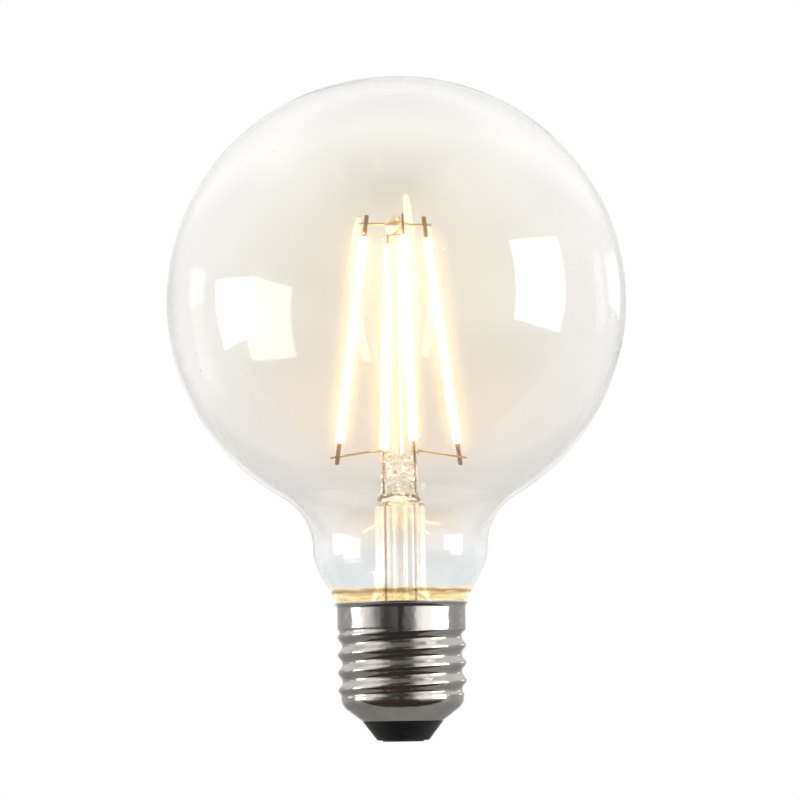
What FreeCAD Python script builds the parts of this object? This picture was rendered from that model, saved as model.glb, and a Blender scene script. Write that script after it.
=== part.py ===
"""Globe bulb: a clear LED filament lamp with a ninety-five millimetre glass globe and an E27 screw cap.

Lengths are millimetres. The bulb stands upright on its centre contact: the face of the contact lies
at the origin and the axis of the lamp runs up along +Z. The flat side of the stem press looks along Y.
"""
import FreeCAD, Part
import math
import os
import Sketcher

Vector = FreeCAD.Vector
UP = Vector(0, 0, 1)

SIZES = {
    # Glass globe and neck
    "globe_diameter": "95.0",
    "crown_flat": "1.1",
    "glass_wall": "0.8",
    "shoulder_radius": "12.0",
    "neck_diameter": "36.0",
    "neck_length": "0.35",
    "neck_radius": "9.4",
    "neck_angle": "29.0",
    "seal_radius": "3.0",
    "seal_length": "1.4",
    "seal_depth": "2.4",
    # Stem, exhaust tube and support rod
    "stem_diameter": "10.4",
    "stem_wall": "0.9",
    "flare_radius": "8.0",
    "stem_length": "16.3",
    "press_taper": "3.3",
    "press_height": "6.0",
    "press_margin": "0.4",
    "press_thickness": "4.2",
    "exhaust_diameter": "3.2",
    "exhaust_wall": "0.6",
    "exhaust_reach": "5.8",
    "rod_diameter": "2.8",
    "bead_diameter": "4.5",
    # Wires and filaments
    "lead_spacing": "6.2",
    "lead_diameter": "0.6",
    "lead_rise": "0.5",
    "wire_diameter": "0.5",
    "wire_overhang": "1.6",
    "wire_bend": "1.2",
    "inner_bend": "0.7",
    "bracket_knee": "6.0",
    "bracket_drop": "1.2",
    "cross_wire_spacing": "1.0",
    "ring_angle": "14.0",
    "lower_ring_radius": "12.9",
    "upper_ring_radius": "6.3",
    "filament_length": "43.2",
    "filament_diameter": "1.8",
    "filament_round": "0.6",
    "tab_length": "4.6",
    "tab_width": "0.9",
    "tab_thickness": "0.3",
    "weld_reach": "2.58",
    "weld_gap": "0.02",
    # Screw cap
    "shell_wall": "0.3",
    "lip_flare": "0.65",
    "lip_radius": "1.3",
    "skirt_height": "3.8",
    "thread_diameter": "26.4",
    "thread_depth": "0.9",
    "thread_pitch": "3.629",
    "thread_start": "1.4",
    "thread_fade": "1.3",
    "thread_length": "14.3",
    "heel_inset": "0.6",
    "heel_radius": "3.0",
    "heel_angle": "36.5",
    "hem_diameter": "16.6",
    "hem_level": "4.2",
    # Cement, insulator and contact
    "cement_thickness": "0.6",
    "cement_start": "0.4",
    "cement_rise": "1.2",
    "insulator_end_diameter": "10.6",
    "insulator_round": "0.6",
    "insulator_gap": "0.4",
    "contact_diameter": "8.6",
    "contact_thickness": "1.0",
    "contact_stand": "0.25",
    "rivet_diameter": "2.6",
    "rivet_head_diameter": "4.4",
    "rivet_head_height": "0.5",
    # Driver
    "board_diameter": "19.6",
    "board_thickness": "1.0",
    "board_drop": "5.0",
    "board_hole_gap": "0.8",
    "capacitor_diameter": "6.3",
    "capacitor_length": "8.2",
    "capacitor_offset": "5.9",
    "chip_length": "4.9",
    "chip_width": "3.9",
    "chip_height": "1.5",
    "chip_offset": "6.0",
    "leg_length": "1.0",
    "leg_width": "0.5",
    "leg_pitch": "2.5",
    "leg_thickness": "0.25",
    "fuse_diameter": "2.8",
    "fuse_length": "6.4",
    "fuse_lead_length": "0.6",
    "fuse_across": "5.6",
    "fuse_back": "3.6",
    "side_wire_radius": "8.6",
}

doc = FreeCAD.newDocument("globe_bulb")
sheet = doc.addObject("Spreadsheet::Sheet", "sizes")
for row, (alias, number) in enumerate(SIZES.items(), start=1):
    sheet.set("A" + str(row), alias)
    sheet.set("B" + str(row), number)
    sheet.setAlias("B" + str(row), alias)
doc.recompute()


class Size:
    """A number from the sheet, or worked out from it, with the expression that gives it."""

    def __init__(self, value, text):
        self.value = value
        self.text = text

    def __add__(self, other):
        other = as_size(other)
        return Size(self.value + other.value, "(" + self.text + " + " + other.text + ")")

    def __sub__(self, other):
        other = as_size(other)
        return Size(self.value - other.value, "(" + self.text + " - " + other.text + ")")

    def __mul__(self, other):
        other = as_size(other)
        return Size(self.value * other.value, "(" + self.text + " * " + other.text + ")")

    def __truediv__(self, other):
        other = as_size(other)
        return Size(self.value / other.value, "(" + self.text + " / " + other.text + ")")


def as_size(thing):
    """Take a plain number as a size too."""
    return thing if isinstance(thing, Size) else Size(float(thing), str(float(thing)))


def of(alias):
    """Return the named size of the sheet."""
    return Size(float(sheet.get(alias)), "sizes." + alias)


def root(size):
    """Return the square root of a size."""
    return Size(math.sqrt(size.value), "sqrt(" + size.text + ")")


def leg(long_side, short_side):
    """Return the third side of a right-angled triangle."""
    return root(long_side * long_side - short_side * short_side)


def sine(angle):
    """Return the sine of an angle in degrees."""
    return Size(math.sin(math.radians(angle.value)), "sin(" + angle.text + ")")


def cosine(angle):
    """Return the cosine of an angle in degrees."""
    return Size(math.cos(math.radians(angle.value)), "cos(" + angle.text + ")")


def bind(thing, field, size):
    """Tie one property of an object to the sheet."""
    thing.setExpression(field, as_size(size).text)


def origin_plane(body, role):
    """Return one of a body's own origin planes."""
    return [plane for plane in body.Origin.OriginFeatures if plane.Role == role][0]


def new_sketch(body, name, role):
    """Return an empty sketch on one of the body's own origin planes."""
    sketch = body.newObject("Sketcher::SketchObject", name)
    sketch.AttachmentSupport = [(origin_plane(body, role), "")]
    sketch.MapMode = "FlatFace"
    return sketch


def limit(sketch, name, constraint, size):
    """Add a dimension to a sketch and tie it to the sheet."""
    index = sketch.addConstraint(constraint)
    sketch.renameConstraint(index, name)
    bind(sketch, "Constraints." + name, size)


def arc_between(start, end, radius, turn):
    """Return the arc from start to end that turns left for a positive turn and right otherwise."""
    chord = end - start
    middle = (start + end) * 0.5
    height = math.sqrt(radius * radius - chord.Length * chord.Length / 4)
    left = Vector(-chord.y, chord.x, 0).normalize()
    centre = middle + left * (height * turn)
    circle = Part.Circle(centre, UP, radius)
    first, last = (start, end) if turn > 0 else (end, start)
    first_angle = math.atan2(first.y - centre.y, first.x - centre.x)
    last_angle = math.atan2(last.y - centre.y, last.x - centre.x)
    if last_angle < first_angle:
        last_angle += 2 * math.pi
    return Part.ArcOfCircle(circle, first_angle, last_angle)


def draw_outline(sketch, corners):
    """Draw a closed outline with every corner and radius tied to the sheet.

    A corner is (across, up) with a straight run to the next corner, or (across, up, radius, turn)
    with an arc to it.
    """
    places = [Vector(as_size(corner[0]).value, as_size(corner[1]).value, 0) for corner in corners]
    count = len(corners)
    starts = []
    ends = []
    for index, corner in enumerate(corners):
        here = places[index]
        there = places[(index + 1) % count]
        if len(corner) == 2:
            piece = sketch.addGeometry(Part.LineSegment(here, there), False)
            starts.append((piece, 1))
            ends.append((piece, 2))
            continue
        turn = corner[3]
        piece = sketch.addGeometry(arc_between(here, there, as_size(corner[2]).value, turn), False)
        starts.append((piece, 1 if turn > 0 else 2))
        ends.append((piece, 2 if turn > 0 else 1))
    for index in range(count):
        sketch.addConstraint(Sketcher.Constraint("Coincident", *ends[index - 1], *starts[index]))
    for index, corner in enumerate(corners):
        across = as_size(corner[0])
        up = as_size(corner[1])
        if across.value == 0:
            sketch.addConstraint(Sketcher.Constraint("PointOnObject", *starts[index], -2))
        else:
            place = Sketcher.Constraint("DistanceX", -1, 1, *starts[index], across.value)
            limit(sketch, "across_" + str(index), place, across)
        if up.value == 0:
            sketch.addConstraint(Sketcher.Constraint("PointOnObject", *starts[index], -1))
        else:
            place = Sketcher.Constraint("DistanceY", -1, 1, *starts[index], up.value)
            limit(sketch, "up_" + str(index), place, up)
        if len(corner) == 4:
            bend = Sketcher.Constraint("Radius", starts[index][0], as_size(corner[2]).value)
            limit(sketch, "radius_" + str(index), bend, corner[2])


def new_body(label):
    """Return an empty body named after its piece."""
    body = doc.addObject("PartDesign::Body", label)
    body.Label = label
    return body


def turned(label, corners):
    """Return a body turned about its own Z axis from an outline of (radius, height) corners."""
    body = new_body(label)
    sketch = new_sketch(body, label + "_section", "XZ_Plane")
    draw_outline(sketch, corners)
    turn = body.newObject("PartDesign::Revolution", label + "_turn")
    turn.Profile = sketch
    turn.ReferenceAxis = (sketch, ["V_Axis"])
    turn.Angle = 360
    sketch.Visibility = False
    return body


def circle_at(sketch, name, across, up, radius):
    """Add a circle of a size and a place tied to the sheet."""
    across = as_size(across)
    up = as_size(up)
    place = Vector(across.value, up.value, 0)
    circle = sketch.addGeometry(Part.Circle(place, UP, radius.value), False)
    limit(sketch, name + "_radius", Sketcher.Constraint("Radius", circle, radius.value), radius)
    if across.value == 0:
        sketch.addConstraint(Sketcher.Constraint("PointOnObject", circle, 3, -2))
    else:
        spot = Sketcher.Constraint("DistanceX", -1, 1, circle, 3, across.value)
        limit(sketch, name + "_across", spot, across)
    if up.value == 0:
        sketch.addConstraint(Sketcher.Constraint("PointOnObject", circle, 3, -1))
    else:
        spot = Sketcher.Constraint("DistanceY", -1, 1, circle, 3, up.value)
        limit(sketch, name + "_up", spot, up)


def slot_across(sketch, length, width):
    """Draw a slot along X about the origin: two straight sides and two round ends."""
    reach = (length.value - width.value) / 2
    round_end = width.value / 2
    right = Part.Circle(Vector(reach, 0, 0), UP, round_end)
    left = Part.Circle(Vector(-reach, 0, 0), UP, round_end)
    right_end = sketch.addGeometry(Part.ArcOfCircle(right, -math.pi / 2, math.pi / 2), False)
    left_end = sketch.addGeometry(Part.ArcOfCircle(left, math.pi / 2, 3 * math.pi / 2), False)
    top = Part.LineSegment(Vector(reach, round_end, 0), Vector(-reach, round_end, 0))
    bottom = Part.LineSegment(Vector(-reach, -round_end, 0), Vector(reach, -round_end, 0))
    top_side = sketch.addGeometry(top, False)
    bottom_side = sketch.addGeometry(bottom, False)
    sketch.addConstraint(Sketcher.Constraint("Tangent", right_end, 2, top_side, 1))
    sketch.addConstraint(Sketcher.Constraint("Tangent", top_side, 2, left_end, 1))
    sketch.addConstraint(Sketcher.Constraint("Tangent", left_end, 2, bottom_side, 1))
    sketch.addConstraint(Sketcher.Constraint("Tangent", bottom_side, 2, right_end, 1))
    sketch.addConstraint(Sketcher.Constraint("Symmetric", right_end, 3, left_end, 3, -1, 1))
    sketch.addConstraint(Sketcher.Constraint("PointOnObject", right_end, 3, -1))
    limit(sketch, "end_radius", Sketcher.Constraint("Radius", right_end, round_end), width / 2)
    spread = Sketcher.Constraint("DistanceX", left_end, 3, right_end, 3, 2 * reach)
    limit(sketch, "end_spread", spread, length - width)


def round_bar(label, diameter, length, place):
    """Return a straight round bar from its foot along the Z axis of its placement."""
    bar = doc.addObject("Part::Cylinder", label)
    bar.Label = label
    bind(bar, "Radius", diameter / 2)
    bind(bar, "Height", length)
    bar.Placement = place
    return bar


def block(label, length, width, height, place):
    """Return a block centred in X and Y on its placement, standing on it in Z."""
    piece = doc.addObject("Part::Box", label)
    piece.Label = label
    bind(piece, "Length", length)
    bind(piece, "Width", width)
    bind(piece, "Height", height)
    corner = FreeCAD.Placement(Vector(-length.value / 2, -width.value / 2, 0), FreeCAD.Rotation())
    piece.Placement = place.multiply(corner)
    return piece


def rounded_path(points, bend):
    """Return a wire through the points with each inner corner rounded to the bend radius."""
    edges = []
    start = points[0]
    for before, corner, after in zip(points, points[1:], points[2:]):
        inward = (before - corner).normalize()
        outward = (after - corner).normalize()
        half_angle = inward.getAngle(outward) / 2
        cut = bend / math.tan(half_angle)
        middle = (inward + outward).normalize()
        centre = corner + middle * (bend / math.sin(half_angle))
        arc_start = corner + inward * cut
        arc_end = corner + outward * cut
        arc_middle = centre - middle * bend
        edges.append(Part.LineSegment(start, arc_start).toShape())
        edges.append(Part.Arc(arc_start, arc_middle, arc_end).toShape())
        start = arc_end
    edges.append(Part.LineSegment(start, points[-1]).toShape())
    return Part.Wire(edges)


def bent_wire(label, diameter, points, bend):
    """Return a round wire swept along a path with rounded corners."""
    path = doc.addObject("Part::Feature", label + "_path")
    path.Shape = rounded_path(points, bend.value)
    section = doc.addObject("Part::Circle", label + "_section")
    bind(section, "Radius", diameter / 2)
    section.Placement = FreeCAD.Placement(points[0], FreeCAD.Rotation(UP, points[1] - points[0]))
    wire = doc.addObject("Part::Sweep", label)
    wire.Label = label
    wire.Sections = [section]
    wire.Spine = (path, ["Edge" + str(number + 1) for number in range(len(path.Shape.Edges))])
    wire.Solid = True
    wire.Frenet = False
    path.Visibility = False
    section.Visibility = False
    return wire


def at(across, back, up, rotation=FreeCAD.Rotation()):
    """Return a placement at a point given in sizes or plain numbers."""
    point = Vector(as_size(across).value, as_size(back).value, as_size(up).value)
    return FreeCAD.Placement(point, rotation)


nodes = []

# Screw shell: every level of the lamp is stacked up from its hem
sheet_wall = of("shell_wall")
skirt_half = of("thread_diameter") / 2
skirt_bore = skirt_half - sheet_wall
heel_half = skirt_half - of("heel_inset")
hem_half = of("hem_diameter") / 2
heel_sine = sine(of("heel_angle"))
heel_cosine = cosine(of("heel_angle"))
heel_centre = heel_half - of("heel_radius")
heel_touch_across = heel_centre + of("heel_radius") * heel_sine
heel_touch_level = of("hem_level") + (heel_touch_across - hem_half) * heel_sine / heel_cosine
heel_level = heel_touch_level + of("heel_radius") * heel_cosine
hem_inner_across = hem_half - sheet_wall * heel_sine
hem_inner_level = of("hem_level") + sheet_wall * heel_cosine
skirt_end_level = heel_level + of("thread_length")
lip_level = skirt_end_level + of("skirt_height")
lip_half = skirt_half + of("lip_flare")
lip_centre = skirt_half + of("lip_radius")
lip_height = leg(of("lip_radius"), lip_centre - lip_half)
lip_share = (of("lip_radius") + sheet_wall) / of("lip_radius")
lip_inner_across = lip_centre - (lip_centre - lip_half) * lip_share
lip_inner_level = lip_level + lip_height * lip_share

# Neck: seated in the skirt with the cement round it, then a cone and the rounded neck above
wall = of("glass_wall")
neck_half = of("neck_diameter") / 2
neck_sine = sine(of("neck_angle"))
neck_cosine = cosine(of("neck_angle"))
seal_half = skirt_bore - of("cement_thickness")
seal_bore = seal_half - wall
seal_level = lip_level - of("seal_depth")
foot_centre_across = seal_half + of("seal_radius")
foot_centre_level = seal_level + of("seal_length")
foot_across = foot_centre_across - of("seal_radius") * neck_cosine
foot_level = foot_centre_level + of("seal_radius") * neck_sine
turn_across = neck_half - of("neck_radius")
cone_across = turn_across + of("neck_radius") * neck_cosine
cone_level = foot_level + (cone_across - foot_across) * neck_cosine / neck_sine
neck_level = cone_level + of("neck_radius") * neck_sine

# Globe: a round that touches the hollow shoulder above the neck
globe_radius = of("globe_diameter") / 2 - of("crown_flat")
crown_flat = of("crown_flat")
shoulder = of("shoulder_radius")
shoulder_across = neck_half + shoulder
shoulder_level = neck_level + of("neck_length")
globe_level = shoulder_level + leg(globe_radius + shoulder, shoulder_across - crown_flat)
globe_top = globe_level + globe_radius
touch_share = globe_radius / (globe_radius + shoulder)
touch_across = crown_flat + (shoulder_across - crown_flat) * touch_share
touch_level = globe_level - (globe_level - shoulder_level) * touch_share

# Stem: stands on the seal of the neck
stem_half = of("stem_diameter") / 2
stem_bore = stem_half - of("stem_wall")
flare_across = stem_half + of("flare_radius")
flare_under = of("flare_radius") + of("stem_wall")
flare_level = seal_level + leg(flare_under, flare_across - seal_bore)
rim_top = flare_level - leg(of("flare_radius"), flare_across - seal_bore)
press_start_level = flare_level + of("stem_length")
press_full_level = press_start_level + of("press_taper")
press_level = press_full_level + of("press_height")
press_width = of("lead_spacing") + of("lead_diameter") + of("press_margin") * 2

# Driver board: hung under the seal
board_top = seal_level - of("board_drop")
board_level = board_top - of("board_thickness")


def glass_side(depth):
    """Return the corners of one side of the glass from crown to seal, the given depth inside it."""
    inner_share = (globe_radius - depth) / globe_radius
    shoulder_share = (shoulder + depth) / shoulder
    neck_share = (of("neck_radius") - depth) / of("neck_radius")
    foot_share = (of("seal_radius") + depth) / of("seal_radius")
    return [
        (crown_flat, globe_top - depth, globe_radius - depth, -1),
        (
            crown_flat + (touch_across - crown_flat) * inner_share,
            globe_level - (globe_level - touch_level) * inner_share,
            shoulder + depth,
            1,
        ),
        (neck_half - depth, shoulder_level),
        (neck_half - depth, neck_level, of("neck_radius") - depth, -1),
        (
            turn_across + (cone_across - turn_across) * neck_share,
            neck_level - (neck_level - cone_level) * neck_share,
        ),
        (
            foot_centre_across - (foot_centre_across - foot_across) * foot_share,
            foot_centre_level + (foot_level - foot_centre_level) * foot_share,
            of("seal_radius") + depth,
            1,
        ),
        (seal_half - depth, foot_centre_level),
    ]


def reversed_run(corners):
    """Return an open run of corners the other way round, its arcs turned about."""
    run = [(corners[-1][0], corners[-1][1])]
    for corner in reversed(corners[:-1]):
        if len(corner) == 4:
            run[-1] = (run[-1][0], run[-1][1], corner[2], -corner[3])
        run.append((corner[0], corner[1]))
    return run


outer_side = glass_side(as_size(0))
inner_side = reversed_run(glass_side(wall))
globe_outline = [(0, globe_top)]
globe_outline += outer_side
globe_outline += [(seal_half, seal_level), (seal_bore, seal_level)]
globe_outline += inner_side
globe_outline += [(0, globe_top - wall)]
glass_globe = turned("glass_globe", globe_outline)
nodes.append(glass_globe)

# Stem: a flared tube fused into the neck, pressed flat at its top round the two leads
stem_tube = turned(
    "stem_tube",
    [
        (stem_bore, press_start_level),
        (stem_bore, flare_level, flare_under, 1),
        (seal_bore, seal_level),
        (seal_bore, rim_top, of("flare_radius"), -1),
        (stem_half, flare_level),
        (stem_half, press_start_level),
    ],
)
doc.recompute()
press_foot = new_sketch(stem_tube, "press_foot", "XY_Plane")
circle_at(press_foot, "foot", 0, 0, stem_half)
bind(press_foot, "AttachmentOffset.Base.z", press_start_level)
press_waist = new_sketch(stem_tube, "press_waist", "XY_Plane")
slot_across(press_waist, press_width, of("press_thickness"))
bind(press_waist, "AttachmentOffset.Base.z", press_full_level)
press_taper = stem_tube.newObject("PartDesign::AdditiveLoft", "press_taper")
press_taper.Profile = press_foot
press_taper.Sections = [press_waist]
press_taper.Ruled = True
doc.recompute()
press_section = new_sketch(stem_tube, "press_section", "XY_Plane")
slot_across(press_section, press_width, of("press_thickness"))
bind(press_section, "AttachmentOffset.Base.z", press_full_level)
press_block = stem_tube.newObject("PartDesign::Pad", "press_block")
press_block.Profile = press_section
bind(press_block, "Length", press_level - press_full_level)
doc.recompute()
lead_holes = new_sketch(stem_tube, "lead_holes", "XY_Plane")
bind(lead_holes, "AttachmentOffset.Base.z", press_level)
hole_half = of("lead_diameter") / 2
hole_across = of("lead_spacing") / 2
right_circle = Part.Circle(Vector(hole_across.value, 0, 0), UP, hole_half.value)
left_circle = Part.Circle(Vector(-hole_across.value, 0, 0), UP, hole_half.value)
right_hole = lead_holes.addGeometry(right_circle, False)
left_hole = lead_holes.addGeometry(left_circle, False)
lead_holes.addConstraint(Sketcher.Constraint("Symmetric", right_hole, 3, left_hole, 3, -1, 1))
lead_holes.addConstraint(Sketcher.Constraint("PointOnObject", right_hole, 3, -1))
lead_holes.addConstraint(Sketcher.Constraint("Equal", right_hole, left_hole))
hole_size = Sketcher.Constraint("Radius", right_hole, hole_half.value)
limit(lead_holes, "hole_radius", hole_size, hole_half)
hole_spread = Sketcher.Constraint("DistanceX", left_hole, 3, right_hole, 3, 2 * hole_across.value)
limit(lead_holes, "hole_spread", hole_spread, of("lead_spacing"))
lead_pocket = stem_tube.newObject("PartDesign::Pocket", "lead_pocket")
lead_pocket.Profile = lead_holes
bind(lead_pocket, "Length", press_level - press_start_level)
doc.recompute()
nodes.append(stem_tube)

# Exhaust tube, tipped off to a round end inside the cap
exhaust_half = of("exhaust_diameter") / 2
exhaust_bore = exhaust_half - of("exhaust_wall")
exhaust_tip_level = board_level - of("exhaust_reach")
tip_centre = exhaust_tip_level + exhaust_half
exhaust_tube = turned(
    "exhaust_tube",
    [
        (0, exhaust_tip_level, exhaust_half, 1),
        (exhaust_half, tip_centre),
        (exhaust_half, press_start_level),
        (exhaust_bore, press_start_level),
        (exhaust_bore, tip_centre, exhaust_bore, -1),
        (0, tip_centre - exhaust_bore),
    ],
)
nodes.append(exhaust_tube)

# Support rod with its bead, bored for the two cross wires
rod_half = of("rod_diameter") / 2
bead_half = of("bead_diameter") / 2
wire_half = of("wire_diameter") / 2
weld_offset = wire_half + of("tab_thickness") / 2 + of("weld_gap")
lead_top = press_level + of("lead_rise")
bracket_level = lead_top + wire_half
lower_seat_level = bracket_level - of("bracket_drop")
filament_run = of("filament_length") + of("weld_reach") * 2
bead_level = lower_seat_level + leg(filament_run, of("lower_ring_radius") - of("upper_ring_radius"))
side_wire_height = bead_level + of("cross_wire_spacing") / 2
front_wire_height = bead_level - of("cross_wire_spacing") / 2
ring_turn = FreeCAD.Rotation(UP, of("ring_angle").value)
support_rod = turned(
    "support_rod",
    [
        (0, press_level),
        (rod_half, press_level),
        (rod_half, bead_level - leg(bead_half, rod_half), bead_half, 1),
        (bead_half, bead_level, bead_half, 1),
        (0, bead_level + bead_half),
    ],
)
doc.recompute()
side_bore = new_sketch(support_rod, "side_bore", "YZ_Plane")
circle_at(side_bore, "bore", weld_offset, side_wire_height, wire_half)
side_cut = support_rod.newObject("PartDesign::Pocket", "side_cut")
side_cut.Profile = side_bore
side_cut.SideType = "Symmetric"
bind(side_cut, "Length", of("bead_diameter") * 2)
doc.recompute()
front_bore = new_sketch(support_rod, "front_bore", "XZ_Plane")
circle_at(front_bore, "bore", weld_offset, front_wire_height, wire_half)
front_cut = support_rod.newObject("PartDesign::Pocket", "front_cut")
front_cut.Profile = front_bore
front_cut.SideType = "Symmetric"
bind(front_cut, "Length", of("bead_diameter") * 2)
support_rod.Placement = FreeCAD.Placement(Vector(0, 0, 0), ring_turn)
nodes.append(support_rod)

# Cross wires through the bead, one over the other
upper_reach = of("upper_ring_radius") + of("wire_overhang")
whole_turn = FreeCAD.Placement(Vector(0, 0, 0), ring_turn)
along_x = FreeCAD.Rotation(UP, Vector(1, 0, 0))
along_y = FreeCAD.Rotation(UP, Vector(0, 1, 0))
side_place = at(as_size(0) - upper_reach, weld_offset, side_wire_height, along_x)
front_place = at(weld_offset, as_size(0) - upper_reach, front_wire_height, along_y)
upper_wire_side = round_bar(
    "upper_wire_side", of("wire_diameter"), upper_reach * 2, whole_turn.multiply(side_place)
)
upper_wire_front = round_bar(
    "upper_wire_front", of("wire_diameter"), upper_reach * 2, whole_turn.multiply(front_place)
)
nodes += [upper_wire_side, upper_wire_front]

# Leads from the driver board through the press
lead_half_spacing = of("lead_spacing") / 2
left_lead = round_bar(
    "left_lead_wire", of("lead_diameter"), lead_top - board_top,
    at(as_size(0) - lead_half_spacing, 0, board_top),
)
right_lead = round_bar(
    "right_lead_wire", of("lead_diameter"), lead_top - board_top,
    at(lead_half_spacing, 0, board_top),
)
nodes += [left_lead, right_lead]

# Filaments: four coated rods leaning in towards the bead, each with a metal strip at both ends
def filament_place(turn, upper_level):
    """Return the placement of a filament: its foot at the lower seat, its Z along the rod."""
    lean = math.atan2(
        of("lower_ring_radius").value - of("upper_ring_radius").value,
        upper_level.value - lower_seat_level.value,
    )
    around = FreeCAD.Rotation(UP, turn + of("ring_angle").value)
    lean_in = FreeCAD.Rotation(Vector(0, 1, 0), -math.degrees(lean))
    seat = around.multVec(Vector(of("lower_ring_radius").value, 0, lower_seat_level.value))
    return FreeCAD.Placement(seat, around.multiply(lean_in))


def filament(side, turn, upper_level):
    """Build one filament with its two strips, its middle half way between its two seats."""
    place = filament_place(turn, upper_level)
    run = math.hypot(
        of("lower_ring_radius").value - of("upper_ring_radius").value,
        upper_level.value - lower_seat_level.value,
    )
    coat_half = of("filament_diameter") / 2
    coat_round = of("filament_round")
    coat = turned(
        "filament_" + side,
        [
            (0, 0),
            (coat_half - coat_round, 0, coat_round, 1),
            (coat_half, coat_round),
            (coat_half, of("filament_length") - coat_round, coat_round, 1),
            (coat_half - coat_round, of("filament_length")),
            (0, of("filament_length")),
        ],
    )
    coat_start = (run - of("filament_length").value) / 2
    coat.Placement = place.multiply(at(0, 0, coat_start))
    lower_tab = block(
        "lower_tab_" + side, of("tab_width"), of("tab_thickness"), of("tab_length"),
        place.multiply(at(0, 0, coat_start - of("tab_length").value)),
    )
    upper_tab = block(
        "upper_tab_" + side, of("tab_width"), of("tab_thickness"), of("tab_length"),
        place.multiply(at(0, 0, coat_start + of("filament_length").value)),
    )
    return [coat, lower_tab, upper_tab]


nodes += filament("right", 0, side_wire_height)
nodes += filament("back", 90, front_wire_height)
nodes += filament("left", 180, side_wire_height)
nodes += filament("front", 270, front_wire_height)


def bracket_side(turn, offset):
    """Return the points of one bracket arm from its tip past the strip in to its knee."""
    around = FreeCAD.Rotation(UP, turn + of("ring_angle").value)
    tip = of("lower_ring_radius") + of("wire_overhang")
    fall = of("bracket_drop") / (of("lower_ring_radius") - of("bracket_knee"))
    points = []
    for reach in (tip, of("bracket_knee")):
        level = bracket_level - (reach - of("bracket_knee")) * fall
        points.append(around.multVec(Vector(reach.value, offset, level.value)))
    return points


def bracket(label, side, first_turn, second_turn):
    """Return the bent wire that lies on one lead and carries two lower strips."""
    first = bracket_side(first_turn, weld_offset.value)
    second = bracket_side(second_turn, -weld_offset.value)
    saddle = Vector(side * lead_half_spacing.value, 0, bracket_level.value)
    points = first + [saddle] + list(reversed(second))
    return bent_wire(label, of("wire_diameter"), points, of("wire_bend"))


nodes.append(bracket("left_bracket_wire", -1, 90, 180))
nodes.append(bracket("right_bracket_wire", 1, 270, 0))

# Screw shell: lip and skirt, rolled thread, conical heel, all one thin sheet
shell_skirt = turned(
    "shell_skirt",
    [
        (skirt_bore, skirt_end_level),
        (skirt_half, skirt_end_level),
        (skirt_half, lip_level, of("lip_radius"), -1),
        (lip_half, lip_level + lip_height),
        (lip_inner_across, lip_inner_level, of("lip_radius") + sheet_wall, 1),
        (skirt_bore, lip_level),
    ],
)

shell_heel = turned(
    "shell_heel",
    [
        (hem_half, of("hem_level")),
        (heel_touch_across, heel_touch_level, of("heel_radius"), 1),
        (heel_half, heel_level),
        (heel_half - sheet_wall, heel_level, of("heel_radius") - sheet_wall, -1),
        (heel_touch_across - sheet_wall * heel_sine, heel_touch_level + sheet_wall * heel_cosine),
        (hem_inner_across, hem_inner_level),
    ],
)


def eased(share):
    """Return a share of nought to one with a soft start and end."""
    share = min(1.0, max(0.0, share))
    return share * share * (3 - 2 * share)


def thread_rings(inset):
    """Return the round sections of the thread from heel to skirt.

    A single rolled thread has a circle for its level section, and the middle of that circle runs
    round a small helix. The swing of the helix fades out at both ends.
    """
    low = heel_level.value
    high = skirt_end_level.value
    pitch = of("thread_pitch").value
    swing = of("thread_depth").value / 2
    middle_radius = of("thread_diameter").value / 2 - swing
    fade = of("thread_fade").value
    count = round((high - low) / pitch * 12)
    rings = []
    for number in range(count + 1):
        level = low + (high - low) * number / count
        rise = eased((level - low) / fade)
        fall = eased((high - level) / fade)
        radius = middle_radius
        radius += (heel_half.value - middle_radius) * (1 - rise)
        radius += (skirt_half.value - middle_radius) * (1 - fall)
        angle = 2 * math.pi * (level - of("thread_start").value) / pitch
        reach = swing * rise * fall
        middle = Vector(reach * math.cos(angle), reach * math.sin(angle), level)
        ring = Part.Circle(middle, UP, radius - inset)
        rings.append(Part.Wire([ring.toShape()]))
    return rings


thread_outside = Part.makeLoft(thread_rings(0), True, False)
thread_inside = Part.makeLoft(thread_rings(sheet_wall.value), True, False)
shell_thread = doc.addObject("Part::Feature", "shell_thread")
shell_thread.Shape = thread_outside.cut(thread_inside)
screw_shell = doc.addObject("Part::MultiFuse", "screw_shell")
screw_shell.Label = "screw_shell"
screw_shell.Shapes = [shell_skirt, shell_thread, shell_heel]
screw_shell.Refine = False
nodes.append(screw_shell)

# Cement ring between the neck and the skirt
cement_top = lip_level + of("cement_rise")
cement_low = seal_level + of("cement_start")
cement_outside = lip_centre - leg(of("lip_radius") + sheet_wall, cement_top - lip_level)
cement_inside = foot_across + (cement_top - foot_level) * neck_sine / neck_cosine
basing_cement = turned(
    "basing_cement",
    [
        (seal_half, cement_low),
        (skirt_bore, cement_low),
        (skirt_bore, lip_level, of("lip_radius") + sheet_wall, -1),
        (cement_outside, cement_top),
        (cement_inside, cement_top),
        (foot_across, foot_level, of("seal_radius"), 1),
        (seal_half, foot_centre_level),
    ],
)
nodes.append(basing_cement)

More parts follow.
